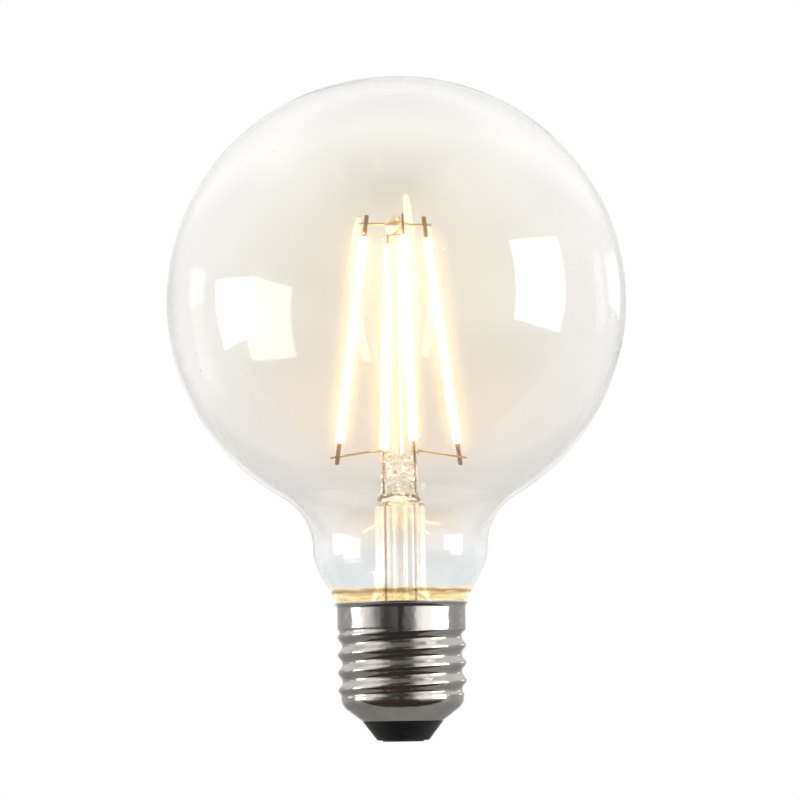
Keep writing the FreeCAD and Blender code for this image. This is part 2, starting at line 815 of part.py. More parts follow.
# Insulator under the heel, with the contact riveted through it
contact_half = of("contact_diameter") / 2
rivet_half = of("rivet_diameter") / 2
end_half = of("insulator_end_diameter") / 2
contact_stand = of("contact_stand")
edge_round = of("insulator_round")
cone_height = of("hem_level") - contact_stand
cone_width = hem_half - end_half
cone_length = root(cone_height * cone_height + cone_width * cone_width)
edge_cut = edge_round * cone_height / (cone_length + cone_width)
insulator_level = heel_touch_level + sheet_wall * heel_cosine - of("insulator_gap")
insulator_top_half = hem_inner_across + (insulator_level - hem_inner_level) * heel_cosine / heel_sine
insulator = turned(
    "insulator",
    [
        (contact_half, contact_stand),
        (end_half - edge_cut, contact_stand, edge_round, 1),
        (end_half + edge_cut * cone_width / cone_length, contact_stand + edge_cut * cone_height / cone_length),
        (hem_half, of("hem_level")),
        (hem_inner_across, hem_inner_level),
        (insulator_top_half, insulator_level),
        (rivet_half, insulator_level),
        (rivet_half, of("contact_thickness")),
        (contact_half, of("contact_thickness")),
    ],
)
nodes.append(insulator)

rivet_head_half = of("rivet_head_diameter") / 2
rivet_top = insulator_level + of("rivet_head_height")
centre_contact = turned(
    "centre_contact",
    [
        (0, 0),
        (contact_half - contact_stand, 0, contact_stand, 1),
        (contact_half, contact_stand),
        (contact_half, of("contact_thickness")),
        (rivet_half, of("contact_thickness")),
        (rivet_half, insulator_level),
        (rivet_head_half, insulator_level),
        (rivet_head_half, rivet_top),
        (0, rivet_top),
    ],
)
nodes.append(centre_contact)

# Driver board, hung from the leads with the exhaust tube through its middle
driver_board = new_body("driver_board")
board_section = new_sketch(driver_board, "board_section", "XY_Plane")
circle_at(board_section, "edge", 0, 0, of("board_diameter") / 2)
circle_at(board_section, "middle", 0, 0, exhaust_half + of("board_hole_gap"))
board_pad = driver_board.newObject("PartDesign::Pad", "board_pad")
board_pad.Profile = board_section
bind(board_pad, "Length", of("board_thickness"))
driver_board.Placement = at(0, 0, board_level)
nodes.append(driver_board)

upside_down = FreeCAD.Rotation(Vector(1, 0, 0), 180)
can_half = of("capacitor_diameter") / 2
can_length = of("capacitor_length")
smoothing_capacitor = turned(
    "smoothing_capacitor",
    [
        (0, 0),
        (can_half, 0),
        (can_half, can_length * 0.12),
        (can_half * 0.92, can_length * 0.16),
        (can_half, can_length * 0.2),
        (can_half, can_length * 0.95),
        (can_half * 0.88, can_length),
        (0, can_length),
    ],
)
smoothing_capacitor.Placement = at(0, of("capacitor_offset"), board_level, upside_down)
nodes.append(smoothing_capacitor)


def packaged_chip(label, place):
    """Return a moulded package that stands on its four gull legs."""
    mould = block(label + "_mould", of("chip_length"), of("chip_width"), of("chip_height"), place)
    legs = [mould]
    for number, side in enumerate((-0.5, 0.5)):
        strip = block(
            label + "_legs_" + str(number), of("leg_width"),
            of("chip_width") + of("leg_length") * 2, of("leg_thickness"),
            place.multiply(at(of("leg_pitch") * side, 0, 0)),
        )
        legs.append(strip)
    chip = doc.addObject("Part::MultiFuse", label)
    chip.Label = label
    chip.Shapes = legs
    return chip


nodes.append(packaged_chip("bridge_rectifier", at(0, of("chip_offset"), board_top)))
nodes.append(packaged_chip("driver_chip", at(0, as_size(0) - of("chip_offset"), board_top)))

# Fuse resistor under the board, joined to the rivet by the centre wire
fuse_half = of("fuse_diameter") / 2
fuse_lead = of("fuse_lead_length")
fuse_end = fuse_lead + of("fuse_length")
fuse_resistor = turned(
    "fuse_resistor",
    [
        (0, 0),
        (wire_half, 0),
        (wire_half, fuse_lead),
        (fuse_half, fuse_lead),
        (fuse_half, fuse_lead + of("fuse_length") * 0.22),
        (fuse_half * 0.84, fuse_lead + of("fuse_length") * 0.28),
        (fuse_half * 0.84, fuse_lead + of("fuse_length") * 0.72),
        (fuse_half, fuse_lead + of("fuse_length") * 0.78),
        (fuse_half, fuse_end),
        (wire_half, fuse_end),
        (wire_half, fuse_end + fuse_lead),
        (0, fuse_end + fuse_lead),
    ],
)
fuse_spot = Vector(-of("fuse_across").value, -of("fuse_back").value, 0)
fuse_resistor.Placement = FreeCAD.Placement(fuse_spot + UP * board_level.value, upside_down)
nodes.append(fuse_resistor)

fuse_bottom = board_level - fuse_end - fuse_lead
centre_wire_level = (fuse_bottom + rivet_top) / 2
centre_wire = bent_wire(
    "centre_wire",
    of("wire_diameter"),
    [
        fuse_spot + UP * fuse_bottom.value,
        fuse_spot + UP * centre_wire_level.value,
        UP * centre_wire_level.value,
        UP * rivet_top.value,
    ],
    of("inner_bend"),
)
nodes.append(centre_wire)

shell_bore = skirt_bore - of("weld_gap")
side_wire_level = skirt_end_level + wire_half
side_wire = bent_wire(
    "side_wire",
    of("wire_diameter"),
    [
        Vector(of("side_wire_radius").value, 0, board_top.value),
        Vector(of("side_wire_radius").value, 0, side_wire_level.value),
        Vector(shell_bore.value, 0, side_wire_level.value),
    ],
    of("inner_bend"),
)
nodes.append(side_wire)

doc.recompute()
for thing in doc.Objects:
    if "Invalid" in thing.State or "Error" in thing.State:
        raise RuntimeError(thing.Label + " did not build: " + ", ".join(thing.State))
for node in nodes:
    if node.Shape.isNull() or not node.Shape.isValid():
        raise RuntimeError(node.Label + " has no valid shape")

os.makedirs("parts", exist_ok=True)
for node in nodes:
    node.Shape.exportStep("parts/" + node.Label + ".step")
print(len(nodes), "pieces written")
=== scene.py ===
"""Globe bulb: the finished look of a clear filament lamp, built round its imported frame.

The glass, stem, filaments and cap are meshes of their own that stand for the solids of the frame.
The driver inside the cap keeps its solids. Sizes are millimetres, and meshes are metres.
"""
import logging
import math
from collections.abc import Callable, Sequence
from dataclasses import dataclass, field
from enum import Enum
from typing import Any

import bmesh
import bpy
from mathutils import Matrix, Vector
from mathutils import noise as relief


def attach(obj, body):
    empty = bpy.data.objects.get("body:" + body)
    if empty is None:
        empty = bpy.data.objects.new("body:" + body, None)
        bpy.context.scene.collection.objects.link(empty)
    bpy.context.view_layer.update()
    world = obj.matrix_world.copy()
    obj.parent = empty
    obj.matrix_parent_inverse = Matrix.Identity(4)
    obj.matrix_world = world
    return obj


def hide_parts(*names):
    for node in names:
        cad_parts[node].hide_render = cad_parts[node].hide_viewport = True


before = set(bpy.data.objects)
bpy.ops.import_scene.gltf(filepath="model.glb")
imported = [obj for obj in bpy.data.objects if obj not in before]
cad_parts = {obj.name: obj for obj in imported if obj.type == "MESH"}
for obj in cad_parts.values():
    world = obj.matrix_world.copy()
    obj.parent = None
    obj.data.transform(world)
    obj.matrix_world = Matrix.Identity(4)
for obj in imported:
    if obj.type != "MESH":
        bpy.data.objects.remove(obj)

MM = 0.001
BODY = "root"
SMOOTH_ANGLE = math.radians(38)

log = logging.getLogger("globe_bulb")
made_materials: dict[str, bpy.types.Material] = {}

Point = tuple[float, float]
Colour = tuple[float, float, float]
WHITE: Colour = (1.0, 1.0, 1.0)
DARK: Colour = (0.0, 0.0, 0.0)


def leg(hypotenuse: float, other: float) -> float:
    """Return the second leg of a right triangle."""
    return math.sqrt(hypotenuse * hypotenuse - other * other)


def eased(share: float) -> float:
    """Return a share of nought to one with a soft start and end."""
    share = min(1.0, max(0.0, share))
    return share * share * (3 - 2 * share)


def solid(colour: Colour) -> tuple[float, float, float, float]:
    """Return a colour with full alpha."""
    return (*colour, 1.0)


class Value:
    """A socket of a node tree; arithmetic on it adds Math nodes."""

    def __init__(self, graph: "Graph", socket: bpy.types.NodeSocket) -> None:
        """Keep the socket and the graph that it belongs to."""
        self.graph = graph
        self.socket = socket

    def __add__(self, other: "Value | float") -> "Value":
        """Return the sum."""
        return self.graph.maths("ADD", self, other)

    __radd__ = __add__

    def __sub__(self, other: "Value | float") -> "Value":
        """Return the difference."""
        return self.graph.maths("SUBTRACT", self, other)

    def __rsub__(self, other: float) -> "Value":
        """Return the difference from a number."""
        return self.graph.maths("SUBTRACT", other, self)

    def __mul__(self, other: "Value | float") -> "Value":
        """Return the product."""
        return self.graph.maths("MULTIPLY", self, other)

    __rmul__ = __mul__

    def __truediv__(self, other: "Value | float") -> "Value":
        """Return the quotient."""
        return self.graph.maths("DIVIDE", self, other)

    def __pow__(self, other: "Value | float") -> "Value":
        """Return the power."""
        return self.graph.maths("POWER", self, other)

    def __abs__(self) -> "Value":
        """Return the size without its sign."""
        return self.graph.maths("ABSOLUTE", self, 0.0)

    def above(self, start: float, end: float) -> "Value":
        """Return nought below start, one above end, and a soft step between them."""
        return self.graph.value(
            "ShaderNodeMapRange",
            {"interpolation_type": "SMOOTHSTEP"},
            {"Value": self, "From Min": start, "From Max": end},
        )


class Graph:
    """A node tree that is filled through one method."""

    def __init__(self, tree: bpy.types.NodeTree) -> None:
        """Empty the tree and keep it."""
        tree.nodes.clear()
        self.tree = tree

    def node(self, kind: str, settings: dict[str, Any], inputs: dict[Any, Any]) -> bpy.types.Node:
        """Add one node.

        Args:
            kind: The type of the node.
            settings: Its own settings, set before its sockets; "stops" fills a ramp.
            inputs: Values or links for its sockets, by name or number.

        Returns:
            The new node.
        """
        made = self.tree.nodes.new(kind)
        for name, setting in settings.items():
            if name == "stops":
                self.fill_ramp(made.color_ramp, setting)
            else:
                setattr(made, name, setting)
        for name, given in inputs.items():
            if isinstance(given, Value):
                self.tree.links.new(given.socket, made.inputs[name])
            else:
                made.inputs[name].default_value = given
        return made

    def fill_ramp(self, ramp: bpy.types.ColorRamp, stops: Sequence[tuple[float, Colour]]) -> None:
        """Set the stops of a colour ramp.

        Args:
            ramp: The ramp of a Color Ramp node.
            stops: Place and colour of each stop, in order.
        """
        while len(ramp.elements) < len(stops):
            ramp.elements.new(1.0)
        for element, (place, colour) in zip(ramp.elements, stops):
            element.position = place
            element.color = solid(colour)

    def value(self, kind: str, settings: dict[str, Any], inputs: dict[Any, Any], output: Any = 0) -> Value:
        """Add one node and return one of its outputs.

        Args:
            kind: The type of the node.
            settings: Its own settings.
            inputs: Values or links for its sockets.
            output: Name or number of the output.

        Returns:
            That output, ready for arithmetic.
        """
        return Value(self, self.node(kind, settings, inputs).outputs[output])

    def maths(self, operation: str, first: "Value | float", second: "Value | float") -> Value:
        """Return the result of a Math node."""
        return self.value("ShaderNodeMath", {"operation": operation}, {0: first, 1: second})

    def place(self) -> Value:
        """Return the place on the piece, in metres."""
        return self.value("ShaderNodeTexCoord", {}, {}, "Object")

    def axis(self, place: Value, name: str) -> Value:
        """Return one coordinate of a place."""
        return self.value("ShaderNodeSeparateXYZ", {}, {"Vector": place}, name)

    def radius(self, place: Value) -> Value:
        """Return how far a place lies from the Z axis."""
        across = self.axis(place, "X")
        deep = self.axis(place, "Y")
        return (across * across + deep * deep) ** 0.5

    def wave(self, along: Value, pitch: float) -> Value:
        """Return a sine wave along a coordinate, of that pitch in millimetres."""
        return self.maths("SINE", along * (2 * math.pi / (pitch * MM)), 0.0)

    def stretched(self, place: Value, across: float, along: float, up: float) -> Value:
        """Return a place stretched along its three axes."""
        return self.value(
            "ShaderNodeVectorMath", {"operation": "MULTIPLY"}, {0: place, 1: (across, along, up)}
        )

    def noise(self, place: Value, grain: float, detail: float) -> Value:
        """Return cloudy noise.

        Args:
            place: Where on the piece.
            grain: Size of its clouds in millimetres.
            detail: How many finer layers it has.

        Returns:
            The noise, about a half on average.
        """
        return self.value(
            "ShaderNodeTexNoise", {}, {"Vector": place, "Scale": 1 / (grain * MM), "Detail": detail}
        )

    def cells(self, place: Value, grain: float) -> Value:
        """Return the distance to the nearest of many scattered points, of that spacing in millimetres."""
        return self.value("ShaderNodeTexVoronoi", {}, {"Vector": place, "Scale": 1 / (grain * MM)})

    def blend(self, factor: "Value | float", first: "Value | Colour", second: "Value | Colour") -> Value:
        """Return a mix of two colours."""
        pair = [given if isinstance(given, Value) else solid(given) for given in (first, second)]
        return self.value(
            "ShaderNodeMix", {"data_type": "RGBA"}, {0: factor, 6: pair[0], 7: pair[1]}, 2
        )

    def levels(self, factor: Value, stops: Sequence[Point]) -> Value:
        """Return a brightness that is read off a ramp of places and levels."""
        greys = [(place, (level, level, level)) for place, level in stops]
        return self.value("ShaderNodeValToRGB", {"stops": greys}, {"Fac": factor})

    def bump(self, height: Value, depth: float) -> Value:
        """Return the normal of a surface with small relief, of that depth in millimetres."""
        return self.value(
            "ShaderNodeBump", {}, {"Height": height, "Distance": depth * MM, "Strength": 1.0}
        )

    def mix(self, share: Value, first: Value, second: Value) -> Value:
        """Return a mix of two shaders."""
        return self.value("ShaderNodeMixShader", {}, {0: share, 1: first, 2: second})

    def emission(self, colour: "Value | Colour", strength: float = 1.0) -> Value:
        """Return a shader that only gives light."""
        given = colour if isinstance(colour, Value) else solid(colour)
        return self.value("ShaderNodeEmission", {}, {"Color": given, "Strength": strength})

    def see_through(self, colour: Colour) -> Value:
        """Return a shader that lets rays pass."""
        return self.value("ShaderNodeBsdfTransparent", {}, {"Color": solid(colour)})

    def principled(self, inputs: dict[str, Any]) -> Value:
        """Return a Principled shader with these sockets set."""
        return self.value("ShaderNodeBsdfPrincipled", {}, inputs)

    def skin(self, colour: Value, rough: Value, texture: Value, depth: float,
             others: dict[str, Any] | None = None) -> Value:
        """Return a Principled shader with a small relief.

        Args:
            colour: Its base colour.
            rough: Its roughness.
            texture: Height of its relief, from nought to one.
            depth: Depth of the relief in millimetres.
            others: Any other sockets, by name.

        Returns:
            The shader.
        """
        sockets = {"Base Color": colour, "Roughness": rough, "Normal": self.bump(texture, depth)}
        return self.principled({**sockets, **(others or {})})


class Rays:
    """Which way a ray came: to the camera, straight through glass, mirrored, or mirrored inside glass.

    A lamp's shader knows how often a ray passed and bounced, but not its kind. What stands behind
    glass is told by these counts.
    """

    def __init__(self, graph: Graph) -> None:
        """Read the kinds of ray in a graph."""
        path = graph.node("ShaderNodeLightPath", {}, {})
        bounced = graph.maths("GREATER_THAN", Value(graph, path.outputs["Glossy Depth"]), 0.5)
        self.seen = Value(graph, path.outputs["Is Camera Ray"])
        self.through = Value(graph, path.outputs["Is Transmission Ray"]) * (1 - bounced)
        self.mirrored = Value(graph, path.outputs["Is Glossy Ray"]) * bounced
        passed = graph.maths("GREATER_THAN", Value(graph, path.outputs["Transmission Depth"]), 0.5)
        self.inside = self.mirrored * passed
        self.behind = passed * (1 - bounced)
        self.rest = 1 - self.seen - self.through - self.mirrored


class Slot(Enum):
    """The record's names for the finishes of the pieces that are built here."""

    CLEAR_GLASS = "clear_glass"
    STEM_GLASS = "stem_glass"
    FILAMENT_COAT = "filament_coat"
    TAB_COPPER = "tab_copper"
    WIRE_METAL = "wire_metal"
    NICKEL_PLATE = "nickel_plate"
    CEMENT = "cement"
    BLACK_INSULATOR = "black_insulator"
    CONTACT_METAL = "contact_metal"


@dataclass(frozen=True)
class Finish:
    """What all finishes share: the name of the material and how it is made once."""

    name: str

    def material(self) -> bpy.types.Material:
        """Return the material, made on first use."""
        if self.name not in made_materials:
            made = bpy.data.materials.new(self.name)
            made.use_nodes = True
            graph = Graph(made.node_tree)
            graph.node("ShaderNodeOutputMaterial", {}, {"Surface": self.surface(graph)})
            made_materials[self.name] = made
        return made_materials[self.name]

    def surface(self, graph: Graph) -> Value:
        """Return the shader of this finish."""
        raise NotImplementedError


@dataclass(frozen=True)
class ClearGlass(Finish):
    """Blown glass: clear, with a painted warm glow of the filaments' light in its middle, faintly green
    where it is seen edge on, and amber at its seal, the amber partly a painted reflection of warm light.

    Levels are millimetres up the lamp. An amber level of nought means no seal, and a haze of nought
    no film. The glow stands for the light of the filaments that the glass scatters, a painted glow.
    """

    # Painted glow: the first two colours tint the middle of the glass where the filaments light it, cream
    # higher up and peach lower down.
    facing: Colour = (0.96, 0.93, 0.86)
    peach_glow: Colour = (0.96, 0.885, 0.785)
    clear: Colour = (0.985, 0.995, 1.0)
    edge: Colour = (0.89, 0.98, 0.97)
    # Amber of the seal: partly the cement's colour seen through the glass, partly a painted reflection of
    # warm filament light.
    amber: Colour = (1.0, 0.91, 0.64)
    scorched: Colour = (0.50, 0.29, 0.11)
    shade: Colour = (0.94, 0.93, 0.91)
    amber_level: float = 0.0
    amber_waver: float = 1.6
    line_depth: float = 0.85
    second_line_depth: float = 2.3
    # Levels of the painted glow of the filaments' light.
    glow_level: float = 0.0
    glow_rise: float = 12.0
    peach_glow_level: float = 84.0
    peach_glow_fall: float = 22.0
    ripple: float = 0.03
    glow: Colour = (1.0, 0.78, 0.40)
    glow_strength: float = 0.06
    haze: float = 0.0
    haze_rough: float = 0.29
    speck_spacing: float = 6.0
    refraction: float = 1.5

    def body_colour(self, graph: Graph, height: Value, lit: Value) -> Value:
        """Return the tint of the glass, with a painted warm glow of the filaments' light in its middle.

        Args:
            graph: Where the nodes go.
            height: Height up the lamp.
            lit: How far the painted glow of the filaments' light reaches there.

        Returns:
            The colour.
        """
        facing = graph.value("ShaderNodeLayerWeight", {}, {"Blend": 0.5}, "Facing")
        # Painted glow: where the glass faces the view and the filaments light it, it turns cream, and peach
        # lower down.
        glow_tint_share = (1 - facing.above(0.0, 0.5)) * lit
        upper = height.above((self.peach_glow_level - self.peach_glow_fall) * MM, self.peach_glow_level * MM)
        colour = graph.blend(glow_tint_share, self.clear, graph.blend(upper, self.peach_glow, self.facing))
        return graph.blend(facing.above(0.75, 1.0), colour, self.edge)

    def sealed(self, graph: Graph, place: Value, colour: Value) -> tuple[Value, Value]:
        """Return the tint and the painted glow of glass with an amber seal at its foot.

        Args:
            graph: Where the nodes go.
            place: Where on the glass.
            colour: The tint of the glass above the seal.

        Returns:
            The tint, and how far the seal shows its painted glow.
        """
        streaks = graph.noise(graph.stretched(place, 0.35, 0.35, 2.2), 2.4, 3.0)
        waver = (streaks - 0.5) * (self.amber_waver * MM)
        level = (graph.axis(place, "Z") + waver) / MM - self.amber_level
        # Amber band at the seal: partly the cement's colour seen through the glass, partly a painted
        # reflection of warm filament light; it also carries a painted glow.
        amber_tint_and_glow = 1 - level.above(-1.0, 0.6)
        colour = graph.blend(amber_tint_and_glow * (0.4 + streaks), colour, self.amber)
        line = (1 - abs(level + self.line_depth).above(0.16, 0.5)) * streaks.above(0.22, 0.48)
        second = 1 - abs(level + self.second_line_depth).above(0.1, 0.4)
        line = line + second * streaks.above(0.42, 0.58) * 0.6
        return graph.blend(line * 0.9, colour, self.scorched), amber_tint_and_glow * (1 - line * 0.8)

    def surface(self, graph: Graph) -> Value:
        """Return glass that lets the lamps through to what is inside it."""
        place = graph.place()
        height = graph.axis(place, "Z")
        # Painted glow of the filaments' light, rising from its given level up the lamp.
        lit = height.above(self.glow_level * MM, (self.glow_level + self.glow_rise) * MM)
        colour = self.body_colour(graph, height, lit)
        if self.amber_level:
            colour, lit = self.sealed(graph, place, colour)
        waves = graph.noise(place, 14.0, 1.0)
        smear = graph.noise(place, 9.0, 4.0).above(0.55, 0.8)
        body = {
            "Base Color": colour,
            "IOR": self.refraction,
            "Transmission Weight": 1.0,
            # Painted glow: scattered filament light given off by the glass itself.
            "Emission Color": graph.blend(lit, DARK, self.glow),
            "Emission Strength": self.glow_strength,
        }
        clean = {"Roughness": smear * 0.02, "Normal": graph.bump(waves, self.ripple)}
        glass = graph.principled({**body, **clean})
        if self.haze:
            film = graph.principled({**body, "Roughness": self.haze_rough})
            specks = 1 - graph.cells(place, self.speck_spacing).above(0.02, 0.05)
            glass = graph.mix(specks * 0.8 + self.haze, glass, film)
        lamp_ray = graph.value("ShaderNodeLightPath", {}, {}, "Is Shadow Ray")
        return graph.mix(lamp_ray, glass, graph.see_through(self.shade))


@dataclass(frozen=True)
class FilamentCoat(Finish):
    """Lit phosphor coat, a little brighter over each of the chips in it."""

    core: Colour = (1.0, 0.71, 0.34)
    gap: Colour = (1.0, 0.59, 0.24)
    dark_phosphor: Colour = (0.85, 0.62, 0.18)
    pale_phosphor: Colour = (0.95, 0.76, 0.30)
    chip_pitch: float = 1.55
    glow: float = 12.0

    def surface(self, graph: Graph) -> Value:
        """Return the coat, with its chips in a row along its own Z."""
        place = graph.place()
        chips = graph.wave(graph.axis(place, "Z"), self.chip_pitch)
        grain = graph.noise(place, 0.4, 3.0)
        light = graph.blend(chips * 0.35 + 0.5 + (grain - 0.5) * 0.3, self.gap, self.core)
        colour = graph.blend(grain, self.dark_phosphor, self.pale_phosphor)
        lit = {"Emission Color": light, "Emission Strength": self.glow}
        return graph.skin(colour, grain * 0.2 + 0.35, grain, 0.03, lit)


@dataclass(frozen=True)
class ThinMetal(Finish):
    """Drawn wire or stamped strip, with draw lines and heat stains."""

    bright: Colour
    stained: Colour
    rough: float = 0.28
    stain_grain: float = 2.5

    def surface(self, graph: Graph) -> Value:
        """Return the metal, cloudy where it was heated."""
        place = graph.place()
        clouds = graph.noise(place, self.stain_grain, 3.0)
        lines = graph.noise(graph.stretched(place, 1.0, 1.0, 0.08), 0.12, 2.0)
        colour = graph.blend(clouds.above(0.4, 0.72), self.bright, self.stained)
        rough = lines * 0.16 + clouds * 0.12 + (self.rough - 0.14)
        return graph.skin(colour, rough, lines, 0.008, {"Metallic": 1.0})


@dataclass(frozen=True)
class NickelPlate(Finish):
    """Bright plated sheet: rolled marks round it, faint dents, and scratched wear."""

    bright: Colour = (0.54, 0.515, 0.48)
    dull: Colour = (0.40, 0.375, 0.34)
    worn: Colour = (0.64, 0.61, 0.56)

    def surface(self, graph: Graph) -> Value:
        """Return the plating."""
        place = graph.place()
        clouds = graph.noise(place, 5.0, 4.0)
        rolled = graph.noise(graph.stretched(place, 0.06, 0.06, 1.0), 0.22, 3.0)
        dents = graph.noise(place, 2.2, 1.0)
        specks = 1 - graph.cells(place, 0.9).above(0.04, 0.16)
        scratches = graph.noise(graph.stretched(place, 0.1, 1.4, 1.0), 0.3, 2.0).above(0.62, 0.74)
        colour = graph.blend(clouds.above(0.38, 0.75) * 0.55, self.bright, self.dull)
        colour = graph.blend(scratches * 0.35, colour, self.worn)
        rough = clouds * 0.10 + rolled * 0.08 + specks * 0.12 + scratches * 0.10 + 0.04
        dented = dents * 0.8 + rolled * 0.14 + (1 - specks) * 0.06
        return graph.skin(colour, rough, dented, 0.09, {"Metallic": 1.0})


@dataclass(frozen=True)
class BasingCement(Finish):
    """Baked cement: tan, porous and uneven."""

    pale: Colour = (0.66, 0.43, 0.19)
    dark: Colour = (0.36, 0.20, 0.07)

    def surface(self, graph: Graph) -> Value:
        """Return the cement."""
        place = graph.place()
        clouds = graph.noise(place, 1.8, 5.0)
        pores = graph.cells(place, 0.5).above(0.1, 0.45)
        colour = graph.blend(clouds * pores, self.dark, self.pale)
        return graph.skin(colour, 0.75 - pores * 0.15, clouds + pores * 0.5, 0.12)


@dataclass(frozen=True)
class BlackGlass(Finish):
    """Pressed black insulator: satin, with fine flow lines and dust in its pits."""

    body: Colour = (0.010, 0.010, 0.011)
    dusty: Colour = (0.035, 0.034, 0.033)

    def surface(self, graph: Graph) -> Value:
        """Return the insulator's satin black."""
        place = graph.place()
        flow = graph.noise(graph.stretched(place, 0.3, 0.3, 1.0), 1.2, 4.0)
        pits = 1 - graph.cells(place, 0.7).above(0.05, 0.2)
        colour = graph.blend(flow.above(0.45, 0.8) * 0.6 + pits * 0.3, self.body, self.dusty)
        pressed = flow * 0.5 - pits * 0.5
        return graph.skin(colour, flow * 0.22 + 0.2, pressed, 0.04, {"Specular IOR Level": 0.3})


@dataclass(frozen=True)
class TinnedContact(Finish):
    """Contact plate: tinned, with turning marks, and burnt dark along its rim."""

    bright: Colour = (0.72, 0.69, 0.63)
    dull: Colour = (0.50, 0.46, 0.40)
    burnt: Colour = (0.07, 0.06, 0.055)
    burnt_start: float = 3.6
    burnt_full: float = 4.0
    mark_pitch: float = 0.28

    def surface(self, graph: Graph) -> Value:
        """Return the contact's metal."""
        place = graph.place()
        radius = graph.radius(place)
        marks = graph.wave(radius, self.mark_pitch) * 0.5 + 0.5
        clouds = graph.noise(place, 1.4, 4.0)
        colour = graph.blend(clouds.above(0.35, 0.7), self.bright, self.dull)
        rim = radius.above(self.burnt_start * MM, self.burnt_full * MM)
        colour = graph.blend(rim, colour, self.burnt)
        turned_face = marks * 0.3 + clouds * 0.7
        return graph.skin(colour, clouds * 0.25 + 0.18, turned_face, 0.03, {"Metallic": 1.0})


@dataclass(frozen=True)
class BoardLaminate(Finish):
    """Glass-fibre board: a green mask over a fine weave."""

    green: Colour = (0.03, 0.16, 0.07)
    pale: Colour = (0.10, 0.28, 0.12)
    weave_pitch: float = 0.5

    def surface(self, graph: Graph) -> Value:
        """Return the laminate with its weave."""
        place = graph.place()
        warp, weft = (graph.wave(graph.axis(place, name), self.weave_pitch) for name in "XY")
        weave = warp * weft * 0.5 + 0.5
        clouds = graph.noise(place, 3.0, 3.0)
        colour = graph.blend(weave * 0.4 + clouds * 0.4, self.green, self.pale)
        return graph.skin(colour, clouds * 0.2 + 0.3, weave, 0.015)


@dataclass(frozen=True)
class CapacitorCan(Finish):
    """Sleeved can: dark sleeve with one pale stripe down its side and a bare end."""

    sleeve: Colour = (0.04, 0.035, 0.05)
    stripe: Colour = (0.55, 0.53, 0.50)
    bare: Colour = (0.72, 0.72, 0.72)
    bare_level: float = 10.75
    stripe_half: float = 0.8
    fade: float = 0.1

    def surface(self, graph: Graph) -> Value:
        """Return the can, its bare end lowest."""
        place = graph.place()
        clouds = graph.noise(place, 2.0, 3.0)
        across = abs(graph.axis(place, "X"))
        band = 1 - across.above(self.stripe_half * MM, (self.stripe_half + self.fade) * MM)
        end = 1 - graph.axis(place, "Z").above((self.bare_level - self.fade) * MM, self.bare_level * MM)
        colour = graph.blend(end, graph.blend(band, self.sleeve, self.stripe), self.bare)
        return graph.skin(colour, clouds * 0.2 + 0.25, clouds, 0.03, {"Metallic": end})


@dataclass(frozen=True)
class ChipMould(Finish):
    """Moulded package, fine grained, on tinned legs."""

    mould: Colour = (0.018, 0.018, 0.02)
    tin: Colour = (0.75, 0.74, 0.72)
    middle: float = 6.0
    half_width: float = 1.97
    fade: float = 0.02

    def surface(self, graph: Graph) -> Value:
        """Return the mould, with metal beyond its sides."""
        place = graph.place()
        grain = graph.noise(place, 0.15, 3.0)
        beside = abs(abs(graph.axis(place, "Y")) - self.middle * MM)
        legs = beside.above(self.half_width * MM, (self.half_width + self.fade) * MM)
        colour = graph.blend(legs, self.mould, self.tin)
        rough = 0.55 - legs * 0.25 + (grain - 0.5) * 0.2
        return graph.skin(colour, rough, grain, 0.02, {"Metallic": legs})


@dataclass(frozen=True)
class ResistorBody(Finish):
    """Lacquered resistor: pale body with plain bands round it."""

    lacquer: Colour = (0.52, 0.42, 0.28)
    band: Colour = (0.20, 0.06, 0.03)
    band_pitch: float = 1.3

    def surface(self, graph: Graph) -> Value:
        """Return the lacquer with its bands."""
        place = graph.place()
        bands = graph.wave(graph.axis(place, "Z"), self.band_pitch).above(0.55, 0.65)
        clouds = graph.noise(place, 1.0, 3.0)
        colour = graph.blend(bands, self.lacquer, self.band)
        return graph.skin(colour, clouds * 0.2 + 0.25, clouds, 0.03, {"Coat Weight": 0.3})


@dataclass(frozen=True)
class WireSleeve(Finish):
    """Glass-fibre sleeving over a wire: pale, with a fine braid."""

    pale: Colour = (0.72, 0.68, 0.60)
    dark: Colour = (0.42, 0.38, 0.32)

    def surface(self, graph: Graph) -> Value:
        """Return the braid."""
        braid = graph.cells(graph.stretched(graph.place(), 1.0, 1.0, 0.6), 0.22)
        return graph.skin(graph.blend(braid, self.pale, self.dark), braid * 0.2 + 0.55, braid, 0.05)


@dataclass(frozen=True)
class StudioFloor(Finish):
    """Matt pale board under the lamp: white behind glass, and dark in front of bright metal.

    Lengths are metres. Mirrors see the board fade out between the two fade distances.
    """

    pale: Colour = (0.80, 0.80, 0.79)
    faint: Colour = (0.76, 0.76, 0.75)
    flag: Colour = (0.06, 0.048, 0.04)
    flag_edge: float = -0.05
    flag_fade: float = 0.03
    white_level: float = 0.9
    white_share: float = 0.7
    fade_start: float = 0.2
    fade_end: float = 0.9

    def surface(self, graph: Graph) -> Value:
        """Return the board's matt paper."""
        place = graph.place()
        clouds = graph.noise(place, 40.0, 3.0)
        colour = graph.blend(clouds, self.pale, self.faint)
        paper = graph.principled({"Base Color": colour, "Roughness": clouds * 0.1 + 0.6})
        rays = Rays(graph)
        front = 1 - graph.axis(place, "Y").above(self.flag_edge, self.flag_edge + self.flag_fade)
        board = graph.mix(rays.mirrored * front, paper, graph.emission(self.flag))
        clear = (rays.seen + rays.through) * self.white_share + rays.inside
        board = graph.mix(clear, board, graph.emission(WHITE, self.white_level))
        far = graph.radius(place).above(self.fade_start, self.fade_end)
        return graph.mix(rays.mirrored * far, board, graph.see_through(WHITE))
